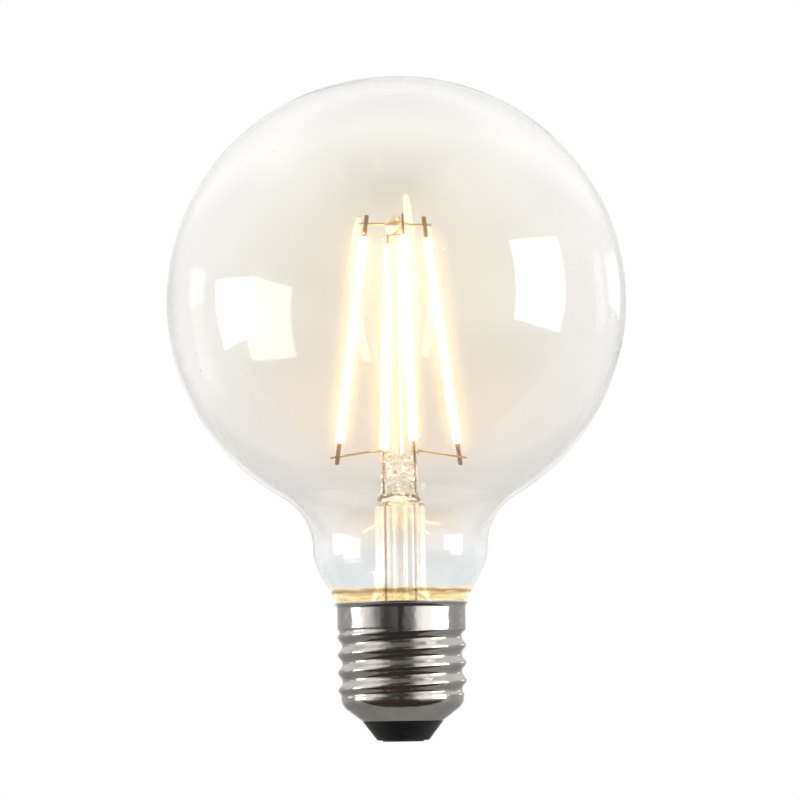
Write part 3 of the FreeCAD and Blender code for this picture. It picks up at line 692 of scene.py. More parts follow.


# Globe glass: painted warm tint and painted glow where the filaments light it, and a painted reflection in
# its amber seal.
GLOBE_GLASS = ClearGlass("blown_glass", amber_level=31.4, glow_level=36.0, haze=0.08, glow_strength=0.09)
# Stem glass: a painted warm tint and painted glow of the filaments' light that it carries.
STEM_GLASS = ClearGlass(
    "drawn_glass",
    facing=(1.0, 0.97, 0.88),
    peach_glow=(1.0, 0.96, 0.86),
    clear=(1.0, 0.995, 0.98),
    glow_level=42.0,
    ripple=0.02,
    glow=(1.0, 0.86, 0.58),
)
COAT = FilamentCoat("lit_phosphor")
COPPER = ThinMetal("copper_strip", bright=(0.30, 0.14, 0.06), stained=(0.10, 0.04, 0.018), rough=0.34)
WIRE = ThinMetal("gilded_wire", bright=(0.78, 0.58, 0.34), stained=(0.45, 0.29, 0.15))
LEAD = ThinMetal("oxidised_lead", bright=(0.36, 0.22, 0.14), stained=(0.14, 0.09, 0.07))
NICKEL = NickelPlate("bright_nickel")
CEMENT = BasingCement("baked_cement")
BLACK = BlackGlass("pressed_black")
CONTACT = TinnedContact("tinned_plate")


class Draft:
    """A mesh in the making: points in millimetres, joined ring by ring."""

    def __init__(self) -> None:
        """Start with nothing."""
        self.points: list[Vector] = []
        self.faces: list[tuple[int, ...]] = []

    def ring(self, points: Sequence[Vector]) -> list[int]:
        """Add a ring of points and return their numbers."""
        start = len(self.points)
        self.points.extend(points)
        return list(range(start, start + len(points)))

    def bridge(self, first: Sequence[int], second: Sequence[int]) -> None:
        """Join two rings of equal count, or a ring and a single point, with faces."""
        count = max(len(first), len(second))
        for number in range(count):
            after = (number + 1) % count
            if len(first) == 1:
                self.faces.append((first[0], second[number], second[after]))
            elif len(second) == 1:
                self.faces.append((first[after], first[number], second[0]))
            else:
                self.faces.append((first[number], first[after], second[after], second[number]))

    def run(self, rings: Sequence[Sequence[Vector]], closed: bool) -> None:
        """Add rings one after another and join each with the next.

        Args:
            rings: Rings of equal count; a ring of one point ends the run in a pole.
            closed: Whether the last is joined with the first.
        """
        numbers = [self.ring(points) for points in rings]
        for first, second in zip(numbers, numbers[1:]):
            self.bridge(first, second)
        if closed:
            self.bridge(numbers[-1], numbers[0])

    def piece(self, name: str, place: Matrix | None = None) -> bpy.types.Object:
        """Turn the draft into an object.

        Args:
            name: Name of the piece.
            place: Where the piece stands, in metres, if its points are in its own frame.

        Returns:
            The new object, with smooth faces, sharp edges and outward normals.
        """
        mesh = bpy.data.meshes.new(name)
        mesh.from_pydata([point * MM for point in self.points], [], self.faces)
        work = bmesh.new()
        work.from_mesh(mesh)
        bmesh.ops.remove_doubles(work, verts=work.verts, dist=1e-7)
        bmesh.ops.recalc_face_normals(work, faces=work.faces)
        work.to_mesh(mesh)
        work.free()
        mesh.shade_smooth()
        mesh.set_sharp_from_angle(angle=SMOOTH_ANGLE)
        made = bpy.data.objects.new(name, mesh)
        bpy.context.scene.collection.objects.link(made)
        if place is not None:
            made.matrix_world = place
        return made


def turns(count: int) -> list[float]:
    """Return equal turns of a circle in radians."""
    return [2 * math.pi * number / count for number in range(count)]


def skinned(name: str, rings: Sequence[Sequence[Vector]], closed: bool = False,
            place: Matrix | None = None) -> bpy.types.Object:
    """Join rings into one piece.

    Args:
        name: Name of the piece.
        rings: Its rings in order.
        closed: Whether the last is joined with the first.
        place: Where the piece stands.

    Returns:
        The piece.
    """
    draft = Draft()
    draft.run(rings, closed)
    return draft.piece(name, place)


def circle(radius: float, level: float, count: int, across: float = 0.0, deep: float = 0.0) -> list[Vector]:
    """Return the points of a level circle, or its middle where it has no radius.

    Args:
        radius: Radius of the circle.
        level: Its height.
        count: How many points it has.
        across: X of its middle.
        deep: Y of its middle.

    Returns:
        Its points, anticlockwise from +X.
    """
    if radius < 1e-6:
        return [Vector((across, deep, level))]
    return [
        Vector((across + radius * math.cos(t), deep + radius * math.sin(t), level)) for t in turns(count)
    ]


def turned(section: Sequence[Point], count: int) -> list[list[Vector]]:
    """Return the rings of a section that is turned round the Z axis."""
    return [circle(across, up, count) for across, up in section]


def arc(middle: Point, radius: float, start: float, end: float, count: int) -> list[Point]:
    """Return points on an arc of a section.

    Args:
        middle: Its centre, across and up.
        radius: Its radius.
        start: Angle of its first point in degrees, from outward towards up.
        end: Angle of its last point.
        count: How many steps it has.

    Returns:
        The points, both ends among them.
    """
    points = []
    for number in range(count + 1):
        angle = math.radians(start + (end - start) * number / count)
        points.append((middle[0] + radius * math.cos(angle), middle[1] + radius * math.sin(angle)))
    return points


def stepped(start: Point, end: Point, count: int) -> list[Point]:
    """Return points along a straight run of a section, its start left out."""
    shares = [(number + 1) / count for number in range(count)]
    return [(start[0] + (end[0] - start[0]) * s, start[1] + (end[1] - start[1]) * s) for s in shares]


def lathe(name: str, section: Sequence[Point], count: int, closed: bool = False,
          place: Matrix | None = None) -> bpy.types.Object:
    """Turn a section round the Z axis.

    Args:
        name: Name of the piece.
        section: Points across and up; an open section starts and ends on the axis.
        count: How many points go round.
        closed: Whether the section is a loop.
        place: Where the piece stands.

    Returns:
        The turned piece.
    """
    return skinned(name, turned(section, count), closed, place)


def rounded(corners: Sequence[Vector], bend: float, steps: int) -> list[Vector]:
    """Return a path with each inner corner rounded.

    Args:
        corners: The corners of a bent wire.
        bend: Radius of its bends.
        steps: How many steps each bend has.

    Returns:
        The points of the path.
    """
    path = [corners[0]]
    for before, corner, after in zip(corners, corners[1:], corners[2:]):
        inward = (before - corner).normalized()
        outward = (after - corner).normalized()
        half_angle = inward.angle(outward) / 2
        middle = (inward + outward).normalized()
        centre = corner + middle * (bend / math.sin(half_angle))
        first = corner + inward * (bend / math.tan(half_angle)) - centre
        last = corner + outward * (bend / math.tan(half_angle)) - centre
        path += [centre + first.slerp(last, number / steps) for number in range(steps + 1)]
    path.append(corners[-1])
    return path


def drawn_wire(name: str, path: Sequence[Vector], radius: float, count: int) -> bpy.types.Object:
    """Sweep a round wire along a path and round off its cut ends.

    Args:
        name: Name of the piece.
        path: Points along its middle.
        radius: Radius of the wire.
        count: How many points go round it.

    Returns:
        The wire.
    """
    ways = [(after - before).normalized() for before, after in zip(path, path[1:])]
    start_way, end_way = ways[0], ways[-1]
    end_round = radius * 0.35
    stations = [(path[0], start_way, 0.0), (path[0], start_way, radius - end_round)]
    stations.append((path[0] + start_way * end_round, start_way, radius))
    for number in range(1, len(path) - 1):
        stations.append((path[number], (ways[number - 1] + ways[number]).normalized(), radius))
    stations.append((path[-1] - end_way * end_round, end_way, radius))
    stations += [(path[-1], end_way, radius - end_round), (path[-1], end_way, 0.0)]
    side = start_way.orthogonal().normalized()
    rings = []
    for middle, way, reach in stations:
        side = (side - way * side.dot(way)).normalized()
        over = way.cross(side)
        if reach == 0.0:
            rings.append([middle])
            continue
        rings.append([middle + (side * math.cos(t) + over * math.sin(t)) * reach for t in turns(count)])
    return skinned(name, rings)


def settle(piece: bpy.types.Object, finish: Finish, slot: Slot, *nodes: str) -> None:
    """Dress a piece, fix it to the lamp and say which solids it stands for.

    Args:
        piece: The finished mesh.
        finish: What it is made of.
        slot: The record's name for that finish; not used.
        nodes: The solids of the frame that it replaces.
    """
    piece.data.materials.clear()
    piece.data.materials.append(finish.material())
    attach(piece, BODY)
    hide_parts(*nodes)
    log.info("%s: %d faces, for %s", piece.name, len(piece.data.polygons), ", ".join(nodes))


@dataclass
class Envelope:
    """The blown glass: globe, hollow shoulder, rounded neck, cone and seal, with its real wall."""

    globe_middle: Point = (1.1, 90.582)
    globe_radius: float = 46.4
    wall: float = 0.8
    shoulder_middle: Point = (30.0, 39.834)
    shoulder_radius: float = 12.0
    neck_middle: Point = (8.6, 39.484)
    neck_radius: float = 9.4
    neck_angle: float = 29.0
    seal_middle: Point = (15.3, 25.994)
    seal_radius: float = 3.0
    seal_level: float = 24.594
    around: int = 192

    def side(self, depth: float) -> list[Point]:
        """Return one side of the glass from crown to seal.

        Args:
            depth: How far inside the outer face it lies.

        Returns:
            Its points across and up.
        """
        rise = self.shoulder_middle[1] - self.globe_middle[1]
        touch = math.degrees(math.atan2(rise, self.shoulder_middle[0] - self.globe_middle[0]))
        round_off = self.globe_radius - depth
        run: list[Point] = [(0.0, self.globe_middle[1] + round_off)]
        run += arc(self.globe_middle, round_off, 90.0, touch, 84)
        run += arc(self.shoulder_middle, self.shoulder_radius + depth, touch + 180, 180.0, 20)[1:]
        turn = arc(self.neck_middle, self.neck_radius - depth, 0.0, -self.neck_angle, 12)
        run += turn
        foot = arc(self.seal_middle, self.seal_radius + depth, 180 - self.neck_angle, 180.0, 6)
        run += stepped(turn[-1], foot[0], 8) + foot[1:]
        return run

    def build(self) -> None:
        """Build the glass with a fire-rounded rim and dress it."""
        outside = self.side(0.0)
        inside = self.side(self.wall)
        rim_radius = self.wall / 2
        rim_middle = (self.seal_middle[0] - self.seal_radius - rim_radius, self.seal_level + rim_radius)
        rim = arc(rim_middle, rim_radius, 0.0, -180.0, 8)
        section = outside + rim + list(reversed(inside))
        settle(lathe("glass_envelope", section, self.around), GLOBE_GLASS, Slot.CLEAR_GLASS, "glass_globe")


@dataclass
class Stem:
    """The inner glass: flared stem with its flat press, exhaust tube, and rod with its bead."""

    tube_radius: float = 5.2
    tube_wall: float = 0.9
    flare_middle: Point = (13.2, 33.33)
    flare_radius: float = 8.0
    flare_reach: float = 11.45
    press_start: float = 49.63
    press_full: float = 52.93
    press_level: float = 58.93
    press_width: float = 7.6
    press_thickness: float = 4.2
    press_dent: float = 0.26
    press_spread: float = 1.6
    press_round: float = 0.5
    press_ease: float = 0.15
    press_rows: int = 24
    press_row: float = 0.22
    press_sink: float = 1.5
    dent_density: float = 1.25
    dent_contrast: float = 2.4
    exhaust_radius: float = 1.6
    exhaust_wall: float = 0.6
    exhaust_tip: float = 12.794
    exhaust_gap: float = 0.04
    rod_radius: float = 1.4
    rod_gap: float = 0.02
    rod_waist: float = 0.05
    bead_radius: float = 2.25
    bead_level: float = 106.388
    lead_spacing: float = 6.2
    lead_radius: float = 0.3
    lead_levels: tuple[float, ...] = (19.6, 28.0, 38.0, 47.0, 53.0, 59.43)
    around: int = 96

    def flat_ring(self, share: float, level: float, inset: float = 0.0) -> list[Vector]:
        """Return a ring part of the way from the round tube to the flat press.

        Args:
            share: Nought for the tube, one for the press.
            level: Its height.
            inset: How far it is drawn in all round.

        Returns:
            Its points.
        """
        half = self.press_thickness / 2
        straight = self.press_width / 2 - half
        points = []
        for turn in turns(self.around):
            across, deep = math.cos(turn), math.sin(turn)
            tube = Vector((across, deep, 0.0)) * (self.tube_radius - inset)
            shift = straight * max(-1.0, min(1.0, across * self.press_spread))
            spot = Vector((across * half + shift, deep * half, level)) * self.dent_density
            dent = self.press_dent * (1 + self.dent_contrast * relief.noise(spot))
            reach = half - inset - dent
            press = Vector((across * reach + shift, deep * reach, 0.0))
            points.append(tube.lerp(press, share) + Vector((0.0, 0.0, level)))
        return points

    def flare(self, radius: float) -> list[list[Vector]]:
        """Return the rings of one face of the flare, from the tube down to its rim.

        Args:
            radius: Radius of the flare's arc on that face.

        Returns:
            The rings.
        """
        rim = math.degrees(math.acos((self.flare_middle[0] - self.flare_reach) / radius))
        return turned(arc(self.flare_middle, radius, 180.0, 180.0 + rim, 20), self.around)

    def build_tube(self) -> bpy.types.Object:
        """Return the flared stem, pressed flat at its top round the leads."""
        top = self.press_level
        rings = [[Vector((0.0, 0.0, top))]]
        rings.append(self.flat_ring(1.0, top, inset=self.press_round))
        rings.append(self.flat_ring(1.0, top - self.press_ease, inset=self.press_ease))
        for row in range(self.press_rows):
            rings.append(self.flat_ring(1.0, top - self.press_round - row * self.press_row))
        steps = 20
        foot = self.press_start - self.press_sink
        for number in range(steps + 1):
            share = number / steps
            level = self.press_full + (foot - self.press_full) * share
            rings.append(self.flat_ring(1 - eased(share), level))
        rings += self.flare(self.flare_radius)
        rings += reversed(self.flare(self.flare_radius + self.tube_wall))
        bore = self.tube_radius - self.tube_wall
        for share, drop in ((1.0, 1.2), (0.8, 0.35), (0.45, 0.0)):
            rings.append(circle(bore * share, self.press_start - drop, self.around))
        rings.append([Vector((0.0, 0.0, self.press_start))])
        return skinned("flared_stem", rings)

    def build_exhaust(self) -> bpy.types.Object:
        """Return the exhaust tube, tipped off at its lower end."""
        bore = self.exhaust_radius - self.exhaust_wall
        tip = (0.0, self.exhaust_tip + self.exhaust_radius)
        top = self.press_start - self.exhaust_gap
        section = arc(tip, self.exhaust_radius, -90.0, 0.0, 10)
        section += stepped(section[-1], (self.exhaust_radius, top), 10)
        section += [(bore, top)]
        section += stepped(section[-1], (bore, tip[1]), 10) + arc(tip, bore, 0.0, -90.0, 8)[1:]
        return lathe("exhaust_tube", section, 40)

    def build_rod(self) -> bpy.types.Object:
        """Return the support rod, waisted a little, with the bead melted on at its top."""
        neck = math.degrees(math.asin(self.rod_radius / self.bead_radius))
        foot = self.press_level + self.rod_gap
        bead_foot = self.bead_level - leg(self.bead_radius, self.rod_radius)
        section = [(0.0, foot), (self.rod_radius * 0.9, foot)]
        steps = 25
        for number in range(1, steps):
            share = number / steps
            waist = 1 - self.rod_waist * math.sin(math.pi * share)
            section.append((self.rod_radius * waist, foot + (bead_foot - foot) * share))
        section += arc((0.0, self.bead_level), self.bead_radius, neck - 90.0, 90.0, 22)
        return lathe("support_rod", section, 48)

    def build_lead(self, name: str, side: int) -> bpy.types.Object:
        """Return one lead from the driver up through the press."""
        path = [Vector((side * self.lead_spacing / 2, 0.0, level)) for level in self.lead_levels]
        return drawn_wire(name, path, self.lead_radius, 16)

    def build(self) -> None:
        """Build the inner glass and the leads, and dress them."""
        settle(self.build_tube(), STEM_GLASS, Slot.STEM_GLASS, "stem_tube")
        settle(self.build_exhaust(), STEM_GLASS, Slot.STEM_GLASS, "exhaust_tube")
        settle(self.build_rod(), STEM_GLASS, Slot.STEM_GLASS, "support_rod")
        settle(self.build_lead("left_lead", -1), LEAD, Slot.WIRE_METAL, "left_lead_wire")
        settle(self.build_lead("right_lead", 1), LEAD, Slot.WIRE_METAL, "right_lead_wire")


class Quarter(Enum):
    """Which of the four filaments, by the angle that it has round the lamp before the ring is turned."""

    RIGHT = 0
    BACK = 90
    LEFT = 180
    FRONT = 270


@dataclass
class FilamentCage:
    """Four filaments that lean in from the brackets on the stem to the cross wires in the bead."""

    ring_angle: float = 14.0
    lower_radius: float = 12.9
    upper_radius: float = 6.3
    lower_level: float = 58.48
    side_level: float = 106.888
    front_level: float = 105.888
    coat_length: float = 43.2
    coat_radius: float = 0.9
    coat_round: float = 0.6
    coat_swell: float = 0.02
    swell_rate: float = 1.7
    tab_length: float = 4.6
    tab_width: float = 0.9
    tab_thickness: float = 0.3
    wire_radius: float = 0.25
    wire_overhang: float = 1.6
    weld_offset: float = 0.42
    bracket_level: float = 59.68
    bracket_knee: float = 6.0
    bracket_bend: float = 1.2
    lead_half: float = 3.1

    def upper_level(self, quarter: Quarter) -> float:
        """Return the height of the cross wire that carries a filament."""
        return self.side_level if quarter in (Quarter.RIGHT, Quarter.LEFT) else self.front_level

    def turn(self, degrees: float) -> Matrix:
        """Return the turn of the ring about the lamp's axis to an angle."""
        return Matrix.Rotation(math.radians(degrees + self.ring_angle), 4, "Z")

    def frame_of(self, quarter: Quarter, start: float) -> Matrix:
        """Return the frame of a filament, its Z along the rod.

        Args:
            quarter: Which filament.
            start: How far up the rod its origin lies, from the lower weld.

        Returns:
            The frame in metres.
        """
        rise = self.upper_level(quarter) - self.lower_level
        lean = math.atan2(self.lower_radius - self.upper_radius, rise)
        seat = Matrix.Translation(Vector((self.lower_radius, 0.0, self.lower_level)) * MM)
        along = Matrix.Translation(Vector((0.0, 0.0, start * MM)))
        return self.turn(quarter.value) @ seat @ Matrix.Rotation(-lean, 4, "Y") @ along

    def build_coat(self, quarter: Quarter, start: float) -> bpy.types.Object:
        """Return the coated rod of a filament, the coat a little uneven along it."""
        straight = self.coat_radius - self.coat_round
        section = [(0.0, 0.0)] + arc((straight, self.coat_round), self.coat_round, -90.0, 0.0, 6)
        top = self.coat_length - self.coat_round
        steps = 40
        for number in range(1, steps):
            level = self.coat_round + (top - self.coat_round) * number / steps
            swell = 1 - self.coat_swell * (1 + math.sin(level * self.swell_rate + quarter.value))
            section.append((self.coat_radius * swell, level))
        section += arc((straight, top), self.coat_round, 0.0, 90.0, 6) + [(0.0, self.coat_length)]
        name = "filament_coat_" + quarter.name.lower()
        return lathe(name, section, 28, place=self.frame_of(quarter, start))

    def build_tab(self, name: str, quarter: Quarter, start: float) -> bpy.types.Object:
        """Return one end strip: clipped corners, eased edges and a shallow weld dimple.

        Args:
            name: Name of the piece.
            quarter: Which filament it belongs to.
            start: Where along the rod it starts.

        Returns:
            The strip.
        """
        half = self.tab_width / 2
        ease = 0.06
        clip = 0.18
        notch = 0.08
        dimple = 0.05
        outline = [(half - clip, 0.0), (half, clip), (half, self.tab_length * 0.4)]
        outline += [(half - notch, self.tab_length * 0.5), (half, self.tab_length * 0.6)]
        outline += [(half, self.tab_length - clip), (half - clip, self.tab_length)]
        outline += [(-across, up) for across, up in reversed(outline)]
        middle = Vector((0.0, 0.0, self.tab_length / 2))
        rings = []
        flat = self.tab_thickness / 2
        for deep, inset in ((-flat, ease), (ease - flat, 0.0), (flat - ease, 0.0), (flat, ease)):
            shrink = 1 - inset / half
            shorten = 1 - inset / self.tab_length
            ring = []
            for across, up in outline:
                level = middle.z + (up - middle.z) * shorten
                ring.append(Vector((across * shrink, deep, level)))
            rings.append(ring)
        rings.insert(0, [Vector((0.0, dimple - flat, middle.z))])
        rings.append([Vector((0.0, flat - dimple, middle.z))])
        return skinned(name, rings, place=self.frame_of(quarter, start))

    def build_cross_wire(self, name: str, degrees: float, sign: int, level: float) -> bpy.types.Object:
        """Return one of the straight wires through the bead.

        Args:
            name: Name of the piece.
            degrees: Its angle in the ring.
            sign: Which side of the axis it passes.
            level: Its height.

        Returns:
            The wire.
        """
        reach = self.upper_radius + self.wire_overhang
        shares = [-1.0, -0.85, -0.5, 0.0, 0.5, 0.85, 1.0]
        corners = [Vector((reach * share, sign * self.weld_offset, level)) for share in shares]
        path = [self.turn(degrees) @ corner for corner in corners]
        return drawn_wire(name, path, self.wire_radius, 16)

    def arm(self, quarter: Quarter, offset: float) -> list[Vector]:
        """Return the corners of a bracket arm from its tip in to its knee."""
        fall = (self.bracket_level - self.lower_level) / (self.lower_radius - self.bracket_knee)
        corners = []
        for reach in (self.lower_radius + self.wire_overhang, self.bracket_knee):
            level = self.bracket_level - (reach - self.bracket_knee) * fall
            corners.append(self.turn(quarter.value) @ Vector((reach, offset, level)))
        return corners

    def build_bracket(self, name: str, side: int, first: Quarter, second: Quarter) -> bpy.types.Object:
        """Return the bent wire that lies on one lead and carries two strips.

        Args:
            name: Name of the piece.
            side: Which lead it lies on.
            first: The filament at its first end.
            second: The filament at its second end.

        Returns:
            The wire.
        """
        corners = self.arm(first, self.weld_offset)
        corners.append(Vector((side * self.lead_half, 0.0, self.bracket_level)))
        corners += reversed(self.arm(second, -self.weld_offset))
        return drawn_wire(name, rounded(corners, self.bracket_bend, 8), self.wire_radius, 16)

    def build_filament(self, quarter: Quarter) -> None:
        """Build one filament with its two strips and dress it."""
        rise = self.upper_level(quarter) - self.lower_level
        run = math.hypot(self.lower_radius - self.upper_radius, rise)
        start = (run - self.coat_length) / 2
        side = quarter.name.lower()
        settle(self.build_coat(quarter, start), COAT, Slot.FILAMENT_COAT, "filament_" + side)
        lower = self.build_tab("lower_strip_" + side, quarter, start - self.tab_length)
        settle(lower, COPPER, Slot.TAB_COPPER, "lower_tab_" + side)
        upper = self.build_tab("upper_strip_" + side, quarter, start + self.coat_length)
        settle(upper, COPPER, Slot.TAB_COPPER, "upper_tab_" + side)

    def build(self) -> None:
        """Build the cage and dress it."""
        for quarter in Quarter:
            self.build_filament(quarter)
        side = self.build_cross_wire("cross_wire_side", 0.0, 1, self.side_level)
        settle(side, WIRE, Slot.WIRE_METAL, "upper_wire_side")
        front = self.build_cross_wire("cross_wire_front", 90.0, -1, self.front_level)
        settle(front, WIRE, Slot.WIRE_METAL, "upper_wire_front")
        left = self.build_bracket("bracket_left", -1, Quarter.BACK, Quarter.LEFT)
        settle(left, WIRE, Slot.WIRE_METAL, "left_bracket_wire")
        right = self.build_bracket("bracket_right", 1, Quarter.FRONT, Quarter.RIGHT)
        settle(right, WIRE, Slot.WIRE_METAL, "right_bracket_wire")


@dataclass
class ScrewCap:
    """The cap: rolled shell, cement ring, black insulator and riveted contact."""

    sheet: float = 0.3
    skirt_radius: float = 13.2
    skirt_end: float = 23.194
    lip_level: float = 26.994
    lip_flare: float = 0.65
    lip_radius: float = 1.3
    thread_depth: float = 0.9
    thread_pitch: float = 3.629
    thread_start: float = 1.4
    thread_fade: float = 1.3
    heel_radius: float = 12.6
    heel_round: float = 3.0
    heel_angle: float = 36.5
    heel_level: float = 8.894
    hem_radius: float = 8.3
    hem_level: float = 4.2
    cement_low: float = 24.994
    cement_top: float = 28.194
    cement_bore: float = 12.315
    cement_inner: float = 13.09
    cement_waver: float = 0.10
    seal_middle: Point = (15.3, 25.994)
    seal_radius: float = 2.985
    seal_angle: float = 151.0
    fit: float = 0.01
    insulator_level: float = 6.324
    insulator_top: float = 10.665
    insulator_end: float = 5.3
    insulator_round: float = 0.6
    contact_radius: float = 4.3
    contact_thickness: float = 1.0
    contact_stand: float = 0.25
    rivet_radius: float = 1.3
    rivet_head: float = 2.2
    rivet_height: float = 0.5
    rivet_ease: float = 0.2
    around: int = 144

    def lip_middle(self) -> Point:
        """Return the centre of the lip's arc."""
        return (self.skirt_radius + self.lip_radius, self.lip_level)

    def hem(self, inset: float) -> Point:
        """Return the lower edge of the shell, so far inside its outer face."""
        slope = math.radians(self.heel_angle)
        return (self.hem_radius - inset * math.sin(slope), self.hem_level + inset * math.cos(slope))

    def thread_ring(self, level: float, inset: float) -> list[Vector]:
        """Return the level section of the rolled thread: a circle whose middle runs on a small helix.

        Args:
            level: Its height.
            inset: How far inside the outer face it lies.

        Returns:
            Its points.
        """
        swing = self.thread_depth / 2
        middle_radius = self.skirt_radius - swing
        rise = eased((level - self.heel_level) / self.thread_fade)
        fall = eased((self.skirt_end - level) / self.thread_fade)
        radius = middle_radius + (self.heel_radius - middle_radius) * (1 - rise)
        radius += (self.skirt_radius - middle_radius) * (1 - fall)
        angle = 2 * math.pi * (level - self.thread_start) / self.thread_pitch
        reach = swing * rise * fall
        return circle(
            radius - inset, level, self.around, reach * math.cos(angle), reach * math.sin(angle)
        )

    def wall_rings(self, inset: float) -> list[list[Vector]]:
        """Return the rings of one face of the shell from hem to lip.

        Args:
            inset: How far inside the outer face it lies.

        Returns:
            The rings, lowest first.
        """
        middle = (self.heel_radius - self.heel_round, self.heel_level)
        heel = arc(middle, self.heel_round - inset, self.heel_angle - 90.0, 0.0, 12)
        hem = self.hem(inset)
        rings = turned([hem] + stepped(hem, heel[0], 6) + heel[1:], self.around)
        steps = 120
        for number in range(1, steps):
            level = self.heel_level + (self.skirt_end - self.heel_level) * number / steps
            rings.append(self.thread_ring(level, inset))
        bore = self.skirt_radius - inset
        skirt = [(bore, self.skirt_end)] + stepped((bore, self.skirt_end), (bore, self.lip_level), 5)
        opening = math.degrees(math.acos((self.lip_radius - self.lip_flare) / self.lip_radius))
        skirt += arc(self.lip_middle(), self.lip_radius + inset, 180.0, 180.0 - opening, 8)[1:]
        return rings + turned(skirt, self.around)

    def build_shell(self) -> bpy.types.Object:
        """Return the shell, one thin sheet from the rolled hem to the flared lip."""
        inside = reversed(self.wall_rings(self.sheet))
        return skinned("screw_shell_plated", [*self.wall_rings(0.0), *inside], closed=True)

    def build_cement(self) -> bpy.types.Object:
        """Return the cement ring, its top a little uneven round the neck."""
        under = self.lip_radius + self.sheet + self.fit
        bore = self.skirt_radius - self.sheet - self.fit
        rise = math.degrees(math.asin((self.cement_top - self.lip_level) / under))
        section = [(bore, self.cement_low)] + arc(self.lip_middle(), under, 180.0, 180.0 - rise, 8)
        section += [(self.cement_inner, self.cement_top)]
        section += arc(self.seal_middle, self.seal_radius, self.seal_angle, 180.0, 8)
        section += [(self.cement_bore, self.cement_low)]
        rings = turned(section, self.around)
        for (_, up), ring in zip(section, rings):
            if up > self.cement_top - self.cement_waver:
                for point, turn in zip(ring, turns(self.around)):
                    point.z -= self.cement_waver * (1 + math.sin(5 * turn) * math.sin(11 * turn + 0.7))
        return skinned("cement_ring", rings, closed=True)

    def build_insulator(self) -> bpy.types.Object:
        """Return the black insulator, a pressed cone with a rounded lower edge."""
        height = self.hem_level - self.contact_stand
        width = self.hem_radius - self.insulator_end
        slope = math.degrees(math.atan2(height, width))
        cut = self.insulator_round * height / (math.hypot(height, width) + width)
        middle = (self.insulator_end - cut, self.contact_stand + self.insulator_round)
        edge = arc(middle, self.insulator_round, -90.0, slope - 90.0, 6)
        section = [(self.contact_radius, self.contact_stand)] + edge
        section += stepped(edge[-1], (self.hem_radius, self.hem_level), 8)
        section += [self.hem(self.sheet), (self.insulator_top, self.insulator_level)]
        rivet_hole = self.rivet_radius + self.fit
        seat = self.contact_thickness + self.fit
        section += [(rivet_hole, self.insulator_level), (rivet_hole, seat), (self.contact_radius, seat)]
        return lathe("insulator_black", section, self.around, closed=True)

    def build_contact(self) -> bpy.types.Object:
        """Return the contact plate with its rivet, dished where the solder was drawn in."""
        edge = (self.contact_radius - self.contact_stand - self.fit, self.contact_stand)
        section: list[Point] = [(0.0, 0.14), (0.5, 0.12), (1.0, 0.05), (1.4, 0.0)]
        section += arc(edge, self.contact_stand, -90.0, 0.0, 6)
        section += [(edge[0] + self.contact_stand, self.contact_thickness)]
        neck = self.insulator_level + self.fit
        head = self.insulator_level + self.rivet_height
        section += [(self.rivet_radius, self.contact_thickness), (self.rivet_radius, neck)]
        section += [(self.rivet_head, neck), (self.rivet_head, head - self.rivet_ease)]
        section += [(self.rivet_head - self.rivet_ease, head), (0.0, head)]
        return lathe("contact_plate", section, 72)

    def build(self) -> None:
        """Build the cap and dress it."""
        settle(self.build_shell(), NICKEL, Slot.NICKEL_PLATE, "screw_shell")
        settle(self.build_cement(), CEMENT, Slot.CEMENT, "basing_cement")
        settle(self.build_insulator(), BLACK, Slot.BLACK_INSULATOR, "insulator")
        settle(self.build_contact(), CONTACT, Slot.CONTACT_METAL, "centre_contact")


@dataclass
class Driver:
    """The driver inside the cap, whose solids stay as they are and get their finishes."""

    finishes: dict[str, Finish] = field(
        default_factory=lambda: {
            "driver_board": BoardLaminate("masked_laminate"),
            "smoothing_capacitor": CapacitorCan("sleeved_can"),
            "bridge_rectifier": ChipMould("moulded_package"),
            "driver_chip": ChipMould("moulded_package"),
            "fuse_resistor": ResistorBody("banded_lacquer"),
            "centre_wire": WireSleeve("braided_sleeve"),
            "side_wire": WireSleeve("braided_sleeve"),
        }
    )

    def dress(self) -> None:
        """Give each solid of the driver its finish."""
        for name, finish in self.finishes.items():
            solid_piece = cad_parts[name]
            solid_piece.data.materials.clear()
            solid_piece.data.materials.append(finish.material())
            log.info("%s: solid kept, %s", name, finish.name)


@dataclass(frozen=True)
class Softbox:
    """One square lamp of the studio, not seen straight through the glass."""

    name: str
    towards: tuple[float, float, float]
    width: float
    height: float
    radiance: float
    distance: float = 0.8

    def place(self, aim: Vector) -> None:
        """Hang the lamp so that it shines on a point.

        Args:
            aim: The point in metres.
        """
        data = bpy.data.lights.new(self.name, "AREA")
        data.shape = "RECTANGLE"
        data.size = self.width
        data.size_y = self.height
        data.energy = self.radiance * math.pi * self.width * self.height
        data.use_nodes = True
        graph = Graph(data.node_tree)
        light = graph.emission(graph.blend(Rays(graph).behind, WHITE, DARK))
        graph.node("ShaderNodeOutputLight", {}, {"Surface": light})
        lamp = bpy.data.objects.new(self.name, data)
        way = Vector(self.towards).normalized()
        lamp.location = aim + way * self.distance
        lamp.rotation_euler = way.to_track_quat("Z", "Y").to_euler()
        bpy.context.scene.collection.objects.link(lamp)


@dataclass(frozen=True)
class Step:
    """A soft step of brightness with the height of a direction."""

    start: float
    end: float
    rise: float

    def at(self, height: Value) -> Value:
        """Return its brightness at a height."""
        return height.above(self.start, self.end) * self.rise


@dataclass(frozen=True)
class Panel:
    """A narrow bright panel of the room, at one bearing."""

    bearing: float
    half: float
    faded: float
    brightness: float

    def at(self, bearing: Value) -> Value:
        """Return its brightness at a bearing."""
        return (1 - abs(bearing - self.bearing).above(self.half, self.faded)) * self.brightness


